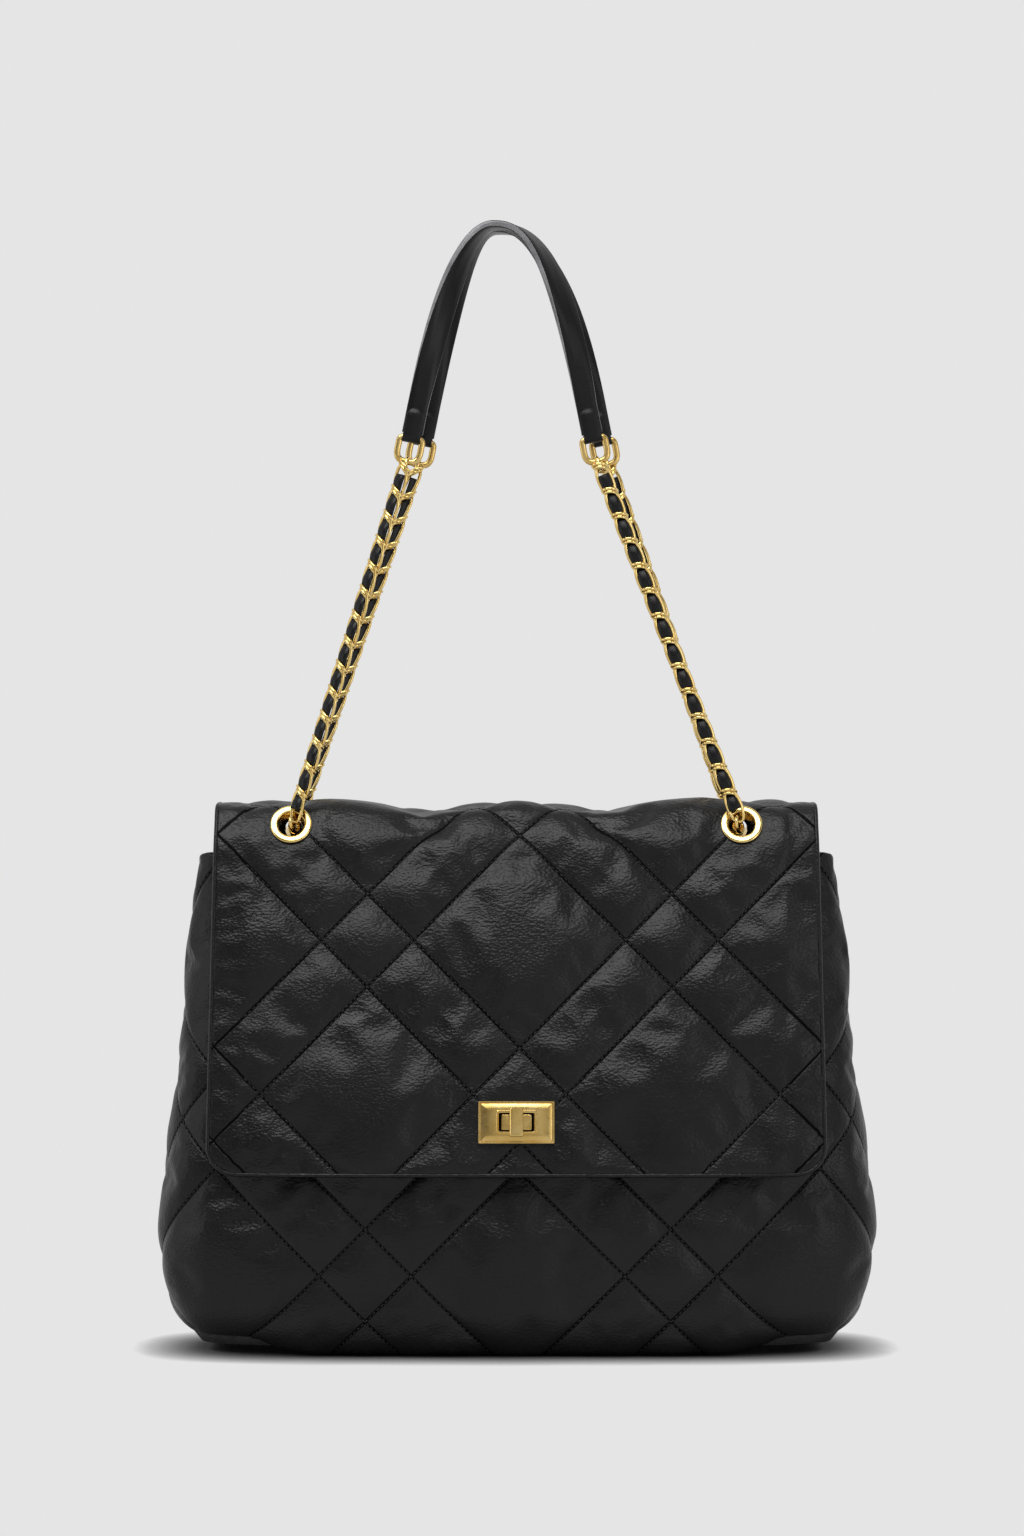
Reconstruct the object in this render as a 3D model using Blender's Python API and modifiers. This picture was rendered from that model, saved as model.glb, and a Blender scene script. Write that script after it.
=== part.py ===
"""Quilted shoulder bag with a turn lock and two chain and leather shoulder straps.

Metres, +Z up. The bag faces -Y, X runs across it, and the origin is the middle of its
base on the ground. Every piece that could be unpicked or unscrewed is its own object.
"""
import bpy
import bmesh
from math import atan, ceil, cos, floor, pi, radians, sin
from mathutils import Matrix, Vector

# Fits between neighbouring pieces
SEAM_GAP = 0.0003
LAYER_GAP = 0.0005
CUT_OVERRUN = 0.004
FLOOR_GAP = 0.0003
MERGE_DISTANCE = 0.00001

# Quilted body
BODY_HEIGHT = 0.263
BODY_HALF_WIDTH = 0.192
BODY_HALF_DEPTH = 0.062
PANEL_THICKNESS = 0.006
SIDE_FLAT = 0.004
BODY_RISE_SHARES = (0.0, 0.02, 0.055, 0.115, 0.23, 0.38, 0.57, 0.76, 0.95, 1.0)
BODY_WIDTH_SHARES = (0.875, 0.904, 0.943, 0.974, 1.0, 0.979, 0.943, 0.917, 0.9, 0.896)
BODY_DEPTH_SHARES = (0.726, 0.839, 0.919, 0.968, 1.0, 0.968, 0.855, 0.694, 0.5, 0.435)
PLAN_EXPONENT = 4
PLAN_STEPS = 12
FACE_PLAN_STEPS = 48

# Base and lining
BASE_INSET = 0.0042
BASE_THICKNESS = 0.0045
BOARD_THICKNESS = 0.002
LINING_THICKNESS = 0.001
FACING_THICKNESS = 0.0012
FACING_DEPTH = 0.04

# Flap with its saddle over the mouth
FLAP_DROP = 0.166
FLAP_BOTTOM = BODY_HEIGHT - FLAP_DROP
FLAP_TOP_HALF_WIDTH = 0.158
FLAP_FLARE = 0.0025
FLAP_LOW_HALF_WIDTH = FLAP_TOP_HALF_WIDTH + FLAP_FLARE
FLAP_CORNER_RADIUS = 0.0147
FLAP_CORNER_SHARES = (1.0, 0.62, 0.3, 0.08, 0.0)
FLAP_SIDE_BEND = 0.006
FLAP_BEND_POWER = 4
FLAP_BEND_FALL_SHARE = 0.5
COVER_THICKNESS = 0.0037
FLAP_LINING_THICKNESS = 0.0008
FLAP_LINING_INSET = 0.002
FLAP_CLEAR_TOP = 0.0009
FLAP_CLEAR_LOCK = 0.003
FLAP_STEPS = 10
SKIRT_DROP = 0.0135
SKIRT_BOTTOM = BODY_HEIGHT - SKIRT_DROP
SADDLE_CROWN = 0.0009
SADDLE_CROWN_POWER = 2.5
CROWN_SHARES = (0.75, 0.4, 0.0, -0.4, -0.75)

# Quilting: straight seams at 45 degrees both ways, a wide and a narrow step in turn
SEAM_PERIOD = 0.1595
SEAM_NARROW = 0.0484
BODY_SEAM_X = 0.0008
BODY_SEAM_DROP = 0.1639
BODY_SEAM_CENTRE = (BODY_SEAM_X, BODY_HEIGHT - BODY_SEAM_DROP)
FLAP_SEAM_X = 0.0018
FLAP_SEAM_OVER_MOUTH = 0.0108
FLAP_SEAM_CENTRE = (FLAP_SEAM_X, BODY_HEIGHT + FLAP_SEAM_OVER_MOUTH)
BODY_SEAM_DEPTH = 0.0035
FLAP_SEAM_DEPTH = 0.0018
FLAP_PUFF = 0.0022
PUFF_REACH = 0.02
QUILT_FADE = 0.015
CELLS_PER_PERIOD = 13
QUILT_CELL = SEAM_PERIOD / CELLS_PER_PERIOD
EDGE_CELL_SHARE = 0.35
PANEL_SIDE_CELLS = 4
FLAP_SIDE_CELLS = 1

# Eyelets through the saddle
EYELET_SIDE_INSET = 0.0393
EYELET_X = FLAP_TOP_HALF_WIDTH - EYELET_SIDE_INSET
EYELET_REAR_INSET = 0.0015
EYELET_Y = 0.027
EYELET_OVER_MOUTH = 0.015
EYELET_HEIGHT = BODY_HEIGHT + EYELET_OVER_MOUTH
EYELET_LEAN = radians(28)
EYELET_BORE_RADIUS = 0.007
EYELET_BARREL_WALL = 0.0007
EYELET_BARREL_RADIUS = EYELET_BORE_RADIUS + EYELET_BARREL_WALL
EYELET_FLANGE = 0.0033
EYELET_RADIUS = EYELET_BARREL_RADIUS + EYELET_FLANGE
EYELET_SEAT_MARGIN = 0.001
EYELET_SEAT_TRIM = 0.0005
EYELET_RISE = 0.0013
EYELET_ROUND = 0.0012
WASHER_FLANGE = 0.001
WASHER_THICKNESS = 0.0005
TURN_STEPS = 16
SHARP_ANGLE = radians(40)

# Chains
LINK_WIRE_RADIUS = 0.00085
LINK_WIDTH = 0.0094
LINK_GAP = 0.00035
LINK_BITE = 0.0008
STRAND_LINKS = 28
INNER_LINKS = 9
LINK_OUTLINE_SHARES = ((1, 0.45), (0, 1), (-1, 0.45), (-1, -0.45), (0, -1), (1, -0.45))
CHAIN_STAND_OFF = 0.0042
CHAIN_RISE_IN_BORE = 0.0014
CHAIN_INSET_IN_BORE = 0.0014
INNER_CHAIN_OVER_MOUTH = 0.0116
INNER_CHAIN_HEIGHT = BODY_HEIGHT + INNER_CHAIN_OVER_MOUTH
INNER_CHAIN_BEND_Y = 0.0205
INNER_CHAIN_BEND_RISE = 0.0014
LACE_RADIUS = 0.0008
LACE_GAP = 0.000275
LACE_SIDE = LINK_WIRE_RADIUS + LACE_RADIUS + LACE_GAP
LACE_SWING = 0.0033
LACE_STEPS_PER_LINK = 3

# Leather shoulder straps with their rings and tabs
STRAP_REACH = 0.333
STRAP_TOP = BODY_HEIGHT + STRAP_REACH
STRAP_DROP = 0.095
STRAP_HALF_SPAN = 0.0445
STRAP_ARCH_POWER = 2.33
STRAP_CENTRE_X = -0.0047
STRAP_APEX_SHIFT = -0.0056
STRAP_END_SHIFT = 0.0028
STRAP_TOP_Y = 0.0099
STRAP_END_Y = 0.012
STRAP_THICKNESS = 0.0036
STRAP_TOP_WIDTH = 0.018
STRAP_END_WIDTH = 0.0125
STRAP_TWIST_POWER = 1.5
STRAP_STRAIGHT = 0.016
STRAP_STEPS = 22
STRAP_RING_GAP = 0.001
TAB_THICKNESS = 0.0014
TAB_EDGE = 0.0005
TAB_WIDTH = STRAP_END_WIDTH - 2 * TAB_EDGE
TAB_SHORT = 0.002
TAB_LEG = STRAP_STRAIGHT - TAB_SHORT
TAB_ARC_STEPS = 6
RING_WIRE_RADIUS = 0.00115
RING_CLEARANCE = 0.0006
RING_HALF_WIDTH = TAB_WIDTH / 2 + RING_CLEARANCE + RING_WIRE_RADIUS
RING_SPAN = 0.013
RING_OUTLINE_SHARES = (
    (1, 0.75),
    (0.84, 1),
    (-0.84, 1),
    (-1, 0.75),
    (-1, -0.25),
    (-0.5, -1),
    (0.5, -1),
    (1, -0.25),
)

# Turn lock
LOCK_DROP = 0.14
LOCK_HEIGHT = BODY_HEIGHT - LOCK_DROP
POST_WIDTH = 0.016
POST_TALL = 0.0082
POST_BELOW_FRAME = 0.0002
POST_SIDE_CLEARANCE = 0.0011
POST_TOP_CLEARANCE = 0.0007
POST_PLATE_WIDTH = 0.032
POST_PLATE_TALL = 0.0165
POST_PLATE_THICKNESS = 0.0011
SLOT_WIDTH = POST_WIDTH + 2 * POST_SIDE_CLEARANCE
SLOT_TALL = POST_TALL + 2 * POST_TOP_CLEARANCE
SLOT_RIM = 0.0008
SLOT_RIM_RISE = 0.0004
LOCK_SIDE_BORDER = 0.0106
LOCK_TOP_BORDER = 0.0061
LOCK_WIDTH = SLOT_WIDTH + 2 * LOCK_SIDE_BORDER
LOCK_TALL = SLOT_TALL + 2 * LOCK_TOP_BORDER
LOCK_THICKNESS = 0.0026
LOCK_CHAMFER = 0.0012
LOCK_FLAT_MARGIN = 0.0015
LOCK_FLAT_REACH = LOCK_TALL / 2 + LOCK_FLAT_MARGIN
LEATHER_SLOT_MARGIN = 0.0006
BACK_PLATE_THICKNESS = 0.0006
BACK_PLATE_MARGIN = 0.0025
SPINDLE_RADIUS = 0.002
SPINDLE_CLEARANCE = 0.0003
KNOB_PASS = 0.0012
KNOB_WIDTH = SLOT_TALL - 2 * KNOB_PASS
KNOB_END_PASS = 0.0015
KNOB_LENGTH = SLOT_WIDTH - 2 * KNOB_END_PASS
KNOB_THICKNESS = 0.0032
KNOB_EDGE = 0.0006
INNER_WASHER_RADIUS = 0.0075
SPINDLE_HEAD_FLANGE = 0.0016
SPINDLE_HEAD_RADIUS = SPINDLE_RADIUS + SPINDLE_HEAD_FLANGE
SPINDLE_HEAD_THICKNESS = 0.001

# Zipped pocket on the rear lining
POCKET_DROP = 0.088
POCKET_HEIGHT = BODY_HEIGHT - POCKET_DROP
POCKET_STAND_OFF = 0.0008
POCKET_SLOT_WIDTH = 0.112
POCKET_SLOT_TALL = 0.007
POCKET_SIDE_BORDER = 0.009
POCKET_TOP_BORDER = 0.0055
POCKET_FRAME_WIDTH = POCKET_SLOT_WIDTH + 2 * POCKET_SIDE_BORDER
POCKET_FRAME_TALL = POCKET_SLOT_TALL + 2 * POCKET_TOP_BORDER
POCKET_FRAME_THICKNESS = 0.001
ZIP_TAPE_THICKNESS = 0.0004
ZIP_TAPE_MARGIN = 0.003
ZIP_TEETH_GAP = 0.002
ZIP_TEETH_TALL = POCKET_SLOT_TALL - 2 * ZIP_TEETH_GAP
ZIP_TEETH_THICKNESS = 0.0014
SLIDER_WIDTH = 0.009
SLIDER_GAP = 0.0005
SLIDER_TALL = POCKET_SLOT_TALL - 2 * SLIDER_GAP
SLIDER_THICKNESS = 0.0022
PULL_LENGTH = 0.026
PULL_WIDTH = 0.005
PULL_THICKNESS = 0.0008

LEATHER = ((0.012, 0.012, 0.012), 0.42, 0.0)
LINING = ((0.02, 0.02, 0.022), 0.8, 0.0)
BOARD = ((0.05, 0.045, 0.04), 0.9, 0.0)
GOLD = ((0.62, 0.42, 0.13), 0.28, 1.0)


def new_collection(name):
    collection = bpy.data.collections.new(name)
    bpy.context.scene.collection.children.link(collection)
    return collection


def make_material(name, finish):
    colour, roughness, metallic = finish
    material = bpy.data.materials.new(name)
    material.use_nodes = True
    shader = material.node_tree.nodes["Principled BSDF"]
    shader.inputs["Base Color"].default_value = (*colour, 1)
    shader.inputs["Roughness"].default_value = roughness
    shader.inputs["Metallic"].default_value = metallic
    return material


class Bag:
    """Holds the collections and the empties that the moving groups hang from."""

    def __init__(self):
        self.pieces = new_collection("quilted_shoulder_bag")
        self.cutters = new_collection("cutters")

    def add(self, name, data, finish, parent=None):
        piece = bpy.data.objects.new(name, data)
        self.pieces.objects.link(piece)
        data.materials.append(make_material(name, finish))
        if parent is not None:
            piece.parent = parent
            piece.matrix_parent_inverse = parent.matrix_world.inverted()
        return piece

    def pivot(self, name, place, parent=None):
        empty = bpy.data.objects.new(name, None)
        self.pieces.objects.link(empty)
        empty.location = place
        if parent is not None:
            empty.location = Vector(place) - parent.matrix_world.translation
            empty.parent = parent
        bpy.context.view_layer.update()
        return empty

    def cutter(self, name, data, matrix):
        piece = bpy.data.objects.new(name, data)
        self.cutters.objects.link(piece)
        piece.matrix_world = matrix
        piece.hide_render = True
        piece.display_type = "WIRE"
        return piece


def cut(piece, cutter):
    modifier = piece.modifiers.new(cutter.name, "BOOLEAN")
    modifier.operation = "DIFFERENCE"
    modifier.object = cutter


def place(piece, matrix):
    """Puts a piece built in its own axes where the matrix says, under any parent."""
    bpy.context.view_layer.update()
    piece.matrix_world = matrix


# Meshes

def mesh_from_bmesh(name, shape):
    mesh = bpy.data.meshes.new(name)
    shape.to_mesh(mesh)
    shape.free()
    mesh.shade_smooth()
    mesh.set_sharp_from_angle(angle=SHARP_ANGLE)
    return mesh


def box_mesh(name, width, tall, low, high):
    """A box centred in X and Y that runs from low to high along Z."""
    shape = bmesh.new()
    bmesh.ops.create_cube(shape, size=1)
    middle = (low + high) / 2
    bmesh.ops.transform(
        shape,
        matrix=Matrix.Translation((0, 0, middle)) @ Matrix.Diagonal((width, tall, high - low, 1)),
        verts=shape.verts,
    )
    return mesh_from_bmesh(name, shape)


def cylinder_mesh(name, radius, low, high):
    shape = bmesh.new()
    bmesh.ops.create_cone(
        shape, cap_ends=True, segments=TURN_STEPS, radius1=radius, radius2=radius, depth=high - low
    )
    bmesh.ops.translate(shape, vec=(0, 0, (low + high) / 2), verts=shape.verts)
    return mesh_from_bmesh(name, shape)


def turned_mesh(name, profile):
    """A closed outline of radius and height, spun round Z. Its outer side runs downwards."""
    shape = bmesh.new()
    ring = [shape.verts.new((radius, 0, height)) for radius, height in profile]
    for index, corner in enumerate(ring):
        shape.edges.new((corner, ring[(index + 1) % len(ring)]))
    return mesh_from_bmesh(name, shape)


def add_screw(piece):
    turn = piece.modifiers.new("turn", "SCREW")
    turn.steps = TURN_STEPS
    turn.render_steps = TURN_STEPS
    turn.use_merge_vertices = True
    turn.merge_threshold = MERGE_DISTANCE


def grid_mesh(name, rows):
    shape = bmesh.new()
    lines = [[shape.verts.new(point) for point in row] for row in rows]
    for low, high in zip(lines, lines[1:]):
        for index in range(len(low) - 1):
            shape.faces.new((low[index], low[index + 1], high[index + 1], high[index]))
    return mesh_from_bmesh(name, shape)


def add_thickness(piece, thickness, offset=-1):
    shell = piece.modifiers.new("thickness", "SOLIDIFY")
    shell.thickness = thickness
    shell.offset = offset
    shell.use_even_offset = True


def inward_steps(rows):
    """For every point of a grid, the step that takes its surface in by one unit, mitred."""
    height, width = len(rows), len(rows[0])

    def face_normal(i, j):
        first, second = rows[i + 1][j + 1] - rows[i][j], rows[i + 1][j] - rows[i][j + 1]
        return first.cross(second).normalized()

    steps = []
    for i in range(height):
        line = []
        for j in range(width):
            around = [
                face_normal(a, b)
                for a in (i - 1, i)
                for b in (j - 1, j)
                if 0 <= a < height - 1 and 0 <= b < width - 1
            ]
            normal = sum(around, Vector()).normalized()
            mitre = sum(normal.dot(face) for face in around) / len(around)
            line.append(-normal / mitre)
        steps.append(line)
    return steps


def offset_rows(rows, distance):
    return [
        [point + step * distance for point, step in zip(*lines)]
        for lines in zip(rows, inward_steps(rows))
    ]


def sunk_rows(rows, depths):
    """Sinks every point of a grid by its own depth."""
    return [
        [point + step * depth for point, step, depth in zip(*lines)]
        for lines in zip(rows, inward_steps(rows), depths)
    ]


def path_length(path):
    return sum((b - a).length for a, b in zip(path, path[1:]))


def spot_at(path, distance):
    """The point at a distance along a bent line."""
    left = max(distance, 0)
    for a, b in zip(path, path[1:]):
        length = (b - a).length
        if left <= length:
            return a.lerp(b, left / length)
        left -= length
    return path[-1].copy()


def shares_along(corners):
    """Each corner's share of the length along an edge."""
    spots = [corner.co for corner in corners]
    total = path_length(spots)
    return [path_length(spots[: index + 1]) / total for index in range(len(spots))]


def join_edges(shape, first, second):
    """Fills the strip between two edges that run side by side, whatever their counts."""
    first_shares, second_shares = shares_along(first), shares_along(second)
    i = j = 0
    while i < len(first) - 1 or j < len(second) - 1:
        last_of_second = j == len(second) - 1
        if last_of_second or (i < len(first) - 1 and first_shares[i + 1] <= second_shares[j + 1]):
            shape.faces.new((first[i], first[i + 1], second[j]))
            i += 1
        else:
            shape.faces.new((first[i], second[j + 1], second[j]))
            j += 1


def cut_from_first(seams, depths, i, j):
    """Which way a quad is cut: along a seam, or else between corners of like depth."""
    if same_seam(seams[i][j], seams[i + 1][j + 1]):
        return True
    if same_seam(seams[i][j + 1], seams[i + 1][j]):
        return False
    first = abs(depths[i][j] - depths[i + 1][j + 1])
    second = abs(depths[i][j + 1] - depths[i + 1][j])
    return first <= second


def closed_shell(name, outer, seams, depths, inner):
    """One closed solid between a quilted outer grid and a coarser inner one."""
    shape = bmesh.new()
    face = [[shape.verts.new(point) for point in row] for row in outer]
    back = [[shape.verts.new(point) for point in row] for row in inner]
    for i in range(len(face) - 1):
        for j in range(len(face[0]) - 1):
            corners = (face[i][j], face[i][j + 1], face[i + 1][j + 1], face[i + 1][j])
            if cut_from_first(seams, depths, i, j):
                shape.faces.new((corners[0], corners[1], corners[2]))
                shape.faces.new((corners[0], corners[2], corners[3]))
            else:
                shape.faces.new((corners[0], corners[1], corners[3]))
                shape.faces.new((corners[1], corners[2], corners[3]))
    for i in range(len(back) - 1):
        for j in range(len(back[0]) - 1):
            shape.faces.new((back[i][j], back[i + 1][j], back[i + 1][j + 1], back[i][j + 1]))
    for index in (0, -1):
        join_edges(shape, face[index], back[index])
        join_edges(shape, [row[index] for row in face], [row[index] for row in back])
    bmesh.ops.recalc_face_normals(shape, faces=shape.faces)
    return mesh_from_bmesh(name, shape)


# Quilting

def nearest_seam(value):
    """Signed step from a diagonal coordinate to the seam nearest to it."""
    part = value % SEAM_PERIOD
    return min((0, SEAM_NARROW, SEAM_PERIOD), key=lambda seam: abs(seam - part)) - part


def diagonals(across, height, centre):
    """Coordinates of a place along both diagonals, from a crossing of two seams."""
    x, climb = across - centre[0], height - centre[1]
    return climb + x, climb - x


def puff_share(across, height, centre):
    """How full the padding is between its seams."""
    share = 1
    for value in diagonals(across, height, centre):
        away = abs(nearest_seam(value)) * cos(pi / 4)
        share *= 1 - max(0, 1 - away / PUFF_REACH) ** 2
    return share


def onto_seams(across, height, centre, cell):
    """Moves a point within half a cell of a seam onto it, and names the seams it is on."""
    values, seams = [], []
    for value in diagonals(across, height, centre):
        step = nearest_seam(value)
        near = abs(step) <= cell / 2
        values.append(value + step if near else value)
        seams.append(round(values[-1] / MERGE_DISTANCE) if near else None)
    rising, falling = values
    return centre[0] + (rising - falling) / 2, centre[1] + (rising + falling) / 2, seams


def same_seam(first, second):
    return any(a is not None and a == b for a, b in zip(first, second))


def fade_by(distance):
    """Grows from 0 to 1 over the reach in which quilting comes to its full height."""
    return min(1, max(0, distance / QUILT_FADE))


def outside(across, climb, half_width, half_tall):
    """How far a point lies from a fitting, beyond one cell that stays flat round it."""
    return max(abs(across) - half_width, abs(climb) - half_tall) - QUILT_CELL


def cells_between(low, high, middle):
    """Places one cell apart, in step with the seams' crossing and clear of both ends."""
    first = ceil((low - middle) / QUILT_CELL + EDGE_CELL_SHARE)
    last = floor((high - middle) / QUILT_CELL - EDGE_CELL_SHARE)
    return [middle + QUILT_CELL * step for step in range(first, last + 1)]


def places_across(half, narrowest, middle, side_cells):
    """Places across a sheet, in step with its seams and then evenly on to both its sides."""
    inner = cells_between(-narrowest, narrowest, middle)
    left = [-half + (inner[0] + half) * step / side_cells for step in range(side_cells)]
    right = [half - (half - inner[-1]) * step / side_cells for step in range(side_cells)]
    return left + inner + right[::-1]


def wire_curve(name, paths, radius, cyclic, resolution):
    """One curve with a closed or capped round wire along each list of points."""
    curve = bpy.data.curves.new(name, "CURVE")
    curve.dimensions = "3D"
    curve.bevel_depth = radius
    curve.bevel_resolution = resolution
    curve.use_fill_caps = True
    for points in paths:
        spline = curve.splines.new("POLY")
        spline.points.add(len(points) - 1)
        for point, spot in zip(spline.points, points):
            point.co = (*spot, 1)
        spline.use_cyclic_u = cyclic
    return curve


def mesh_of_curve(curve):
    """The closed mesh of a curve's wires, which a Boolean can then join."""
    guide = bpy.data.objects.new(curve.name, curve)
    bpy.context.scene.collection.objects.link(guide)
    found = guide.evaluated_get(bpy.context.evaluated_depsgraph_get())
    mesh = bpy.data.meshes.new_from_object(found)
    bpy.data.objects.remove(guide)
    return mesh


# Body outline

def read_shares(rise_share, values):
    """Reads one of the body's share tables at any height."""
    for index in range(len(BODY_RISE_SHARES) - 1):
        low, high = BODY_RISE_SHARES[index], BODY_RISE_SHARES[index + 1]
        if rise_share <= high:
            part = (rise_share - low) / (high - low)
            return values[index] + (values[index + 1] - values[index]) * part
    return values[-1]


def half_width_at(height):
    return BODY_HALF_WIDTH * read_shares(height / BODY_HEIGHT, BODY_WIDTH_SHARES)


def half_depth_at(height):
    return BODY_HALF_DEPTH * read_shares(height / BODY_HEIGHT, BODY_DEPTH_SHARES)


def half_plan(width, depth, flat, steps=PLAN_STEPS):
    """The front half of a soft rectangle seen from above, from its left side to its right."""
    points = [Vector((-width, -SEAM_GAP / 2, 0)), Vector((-width, -flat, 0))]
    for step in range(1, steps):
        angle = pi * step / steps
        across = abs(cos(angle)) ** (2 / PLAN_EXPONENT)
        if cos(angle) > 0:
            across = -across
        points.append(Vector((width * across, -depth * sin(angle) ** (2 / PLAN_EXPONENT), 0)))
    points += [Vector((width, -flat, 0)), Vector((width, -SEAM_GAP / 2, 0))]
    return points


def body_rows(heights):
    rows = []
    for height in heights:
        plan = half_plan(half_width_at(height), half_depth_at(height), SIDE_FLAT)
        rows.append([point + Vector((0, 0, max(height, FLOOR_GAP))) for point in plan])
    return rows


def turned_about(rows):
    """The same rows on the other side of the bag."""
    return [[Vector((-point.x, -point.y, point.z)) for point in row] for row in rows]


def body_heights():
    return [share * BODY_HEIGHT for share in BODY_RISE_SHARES]


def on_side(rows, side):
    return rows if side == "front" else turned_about(rows)


def slope_at(height, reach):
    """How far the front panel leans back for each metre that it climbs."""
    return (half_depth_at(height - reach) - half_depth_at(height + reach)) / (2 * reach)


# Bag body

def face_plan(height):
    return half_plan(half_width_at(height), half_depth_at(height), SIDE_FLAT, FACE_PLAN_STEPS)


def panel_flatness(across, height, half):
    """0 where a panel's face stays plain, 1 where its quilting is full."""
    lower_corner = BODY_RISE_SHARES[2] * BODY_HEIGHT
    lock = outside(across, height - LOCK_HEIGHT, POST_PLATE_WIDTH / 2, POST_PLATE_TALL / 2)
    return fade_by(min(half - abs(across), height - lower_corner, BODY_HEIGHT - height, lock))


def panel_face():
    """The quilted face of the front panel, with the seams and the depth of each point."""
    low = [share * BODY_HEIGHT for share in BODY_RISE_SHARES[:3]]
    quilted = cells_between(low[-1], BODY_HEIGHT, BODY_SEAM_CENTRE[1])
    narrowest = path_length(face_plan(BODY_HEIGHT)) / 2
    rows, depths, seams = [], [], []
    for row_height in [*low, *quilted, BODY_HEIGHT]:
        half = path_length(face_plan(row_height)) / 2
        line, line_depths, line_seams = [], [], []
        for place in places_across(half, narrowest, BODY_SEAM_X, PANEL_SIDE_CELLS):
            across, height, named = place, row_height, (None, None)
            if row_height in quilted and abs(place) < half:
                across, height, named = onto_seams(place, height, BODY_SEAM_CENTRE, QUILT_CELL)
            plan = face_plan(height)
            spot = spot_at(plan, path_length(plan) / 2 + across)
            line.append(spot + Vector((0, 0, max(height, FLOOR_GAP))))
            hollow = 1 - puff_share(across, height, BODY_SEAM_CENTRE)
            line_depths.append(BODY_SEAM_DEPTH * hollow * panel_flatness(place, row_height, half))
            line_seams.append(named)
        rows.append(line)
        depths.append(line_depths)
        seams.append(line_seams)
    return sunk_rows(rows, depths), seams, depths


def build_panel(bag, side):
    """A padded panel: quilted outside, and plain inside where the lining lies on it."""
    outer, seams, depths = panel_face()
    inner = on_side(offset_rows(body_rows(body_heights()), PANEL_THICKNESS), side)
    mesh = closed_shell(f"{side}_panel", on_side(outer, side), seams, depths, inner)
    return bag.add(f"{side}_panel", mesh, LEATHER)


def split_rows(rows, height):
    """Cuts a grid of rising rows in two at a height."""
    for index in range(len(rows) - 1):
        middle = len(rows[index]) // 2
        low, high = rows[index][middle].z, rows[index + 1][middle].z
        if low <= height < high:
            part = (height - low) / (high - low)
            cut_row = [a.lerp(b, part) for a, b in zip(rows[index], rows[index + 1])]
            return rows[: index + 1] + [cut_row], [cut_row] + rows[index + 1:]
    raise ValueError("no row reaches this height")


def build_lining(bag, side):
    """Lines a panel, with a leather facing that takes over near the mouth."""
    rows = offset_rows(body_rows(body_heights()), PANEL_THICKNESS + LAYER_GAP)[1:]
    low, _ = split_rows(rows, BODY_HEIGHT - FACING_DEPTH - SEAM_GAP)
    wall = bag.add(f"{side}_lining", grid_mesh(f"{side}_lining", on_side(low, side)), LINING)
    add_thickness(wall, LINING_THICKNESS)
    _, high = split_rows(rows, BODY_HEIGHT - FACING_DEPTH)
    facing = bag.add(
        f"{side}_mouth_facing", grid_mesh(f"{side}_mouth_facing", on_side(high, side)), LEATHER
    )
    add_thickness(facing, FACING_THICKNESS)
    return wall


def plate_mesh(name, width, depth, low, high):
    """A flat plate with the body's soft rectangle outline."""
    front = half_plan(width, depth, SIDE_FLAT)[1:-1]
    outline = front + [Vector((-point.x, -point.y, 0)) for point in front]
    shape = bmesh.new()
    bottom = shape.faces.new([shape.verts.new((point.x, point.y, low)) for point in outline])
    grown = bmesh.ops.extrude_face_region(shape, geom=[bottom])
    top = [part for part in grown["geom"] if isinstance(part, bmesh.types.BMVert)]
    bmesh.ops.translate(shape, vec=(0, 0, high - low), verts=top)
    bmesh.ops.recalc_face_normals(shape, faces=shape.faces)
    return mesh_from_bmesh(name, shape)


def build_base(bag):
    width, depth = half_width_at(0) - BASE_INSET, half_depth_at(0) - BASE_INSET
    top = BASE_THICKNESS
    bag.add("base_panel", plate_mesh("base_panel", width, depth, 0, top), LEATHER)
    low = top + SEAM_GAP
    top = low + BOARD_THICKNESS
    bag.add("base_board", plate_mesh("base_board", width, depth, low, top), BOARD)
    low = top + SEAM_GAP
    top = low + LINING_THICKNESS
    bag.add("base_lining", plate_mesh("base_lining", width, depth, low, top), LINING)


# Flap

def flap_profile(front_heights):
    """Points of the flap's outer face, from its rear seam over the saddle to its hem."""
    eyelet, down = Vector((EYELET_Y, EYELET_HEIGHT)), Vector((sin(EYELET_LEAN), -cos(EYELET_LEAN)))
    top = eyelet - down * (EYELET_RADIUS + EYELET_SEAT_MARGIN)
    low = eyelet + down * (EYELET_RADIUS - EYELET_SEAT_TRIM)
    points = [Vector((flap_face_y(height), height)) for height in (SKIRT_BOTTOM, BODY_HEIGHT)]
    points += [low, top]
    for share in CROWN_SHARES:
        rise = SADDLE_CROWN * (1 - abs(share) ** SADDLE_CROWN_POWER)
        points.append(Vector((top.x * share, top.y + rise)))
    points += [Vector((-top.x, top.y)), Vector((-low.x, low.y))]
    points += [Vector((-flap_face_y(height), height)) for height in front_heights]
    return points


def flap_heights():
    """Heights of the rows down the flap's front, close together round its corners."""
    high, low = LOCK_HEIGHT + LOCK_FLAT_REACH, LOCK_HEIGHT - LOCK_FLAT_REACH
    corner_top = FLAP_BOTTOM + FLAP_CORNER_RADIUS
    body = [share * BODY_HEIGHT for share in reversed(BODY_RISE_SHARES[:-1])]
    drop = [height for height in body if height > corner_top and not low <= height <= high]
    flat = [height for height in (high, low) if height > corner_top]
    corner = [FLAP_BOTTOM + FLAP_CORNER_RADIUS * share for share in FLAP_CORNER_SHARES]
    return [BODY_HEIGHT, *sorted(drop + flat, reverse=True), *corner]


def flap_stack():
    return COVER_THICKNESS + LAYER_GAP + FLAP_LINING_THICKNESS


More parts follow.
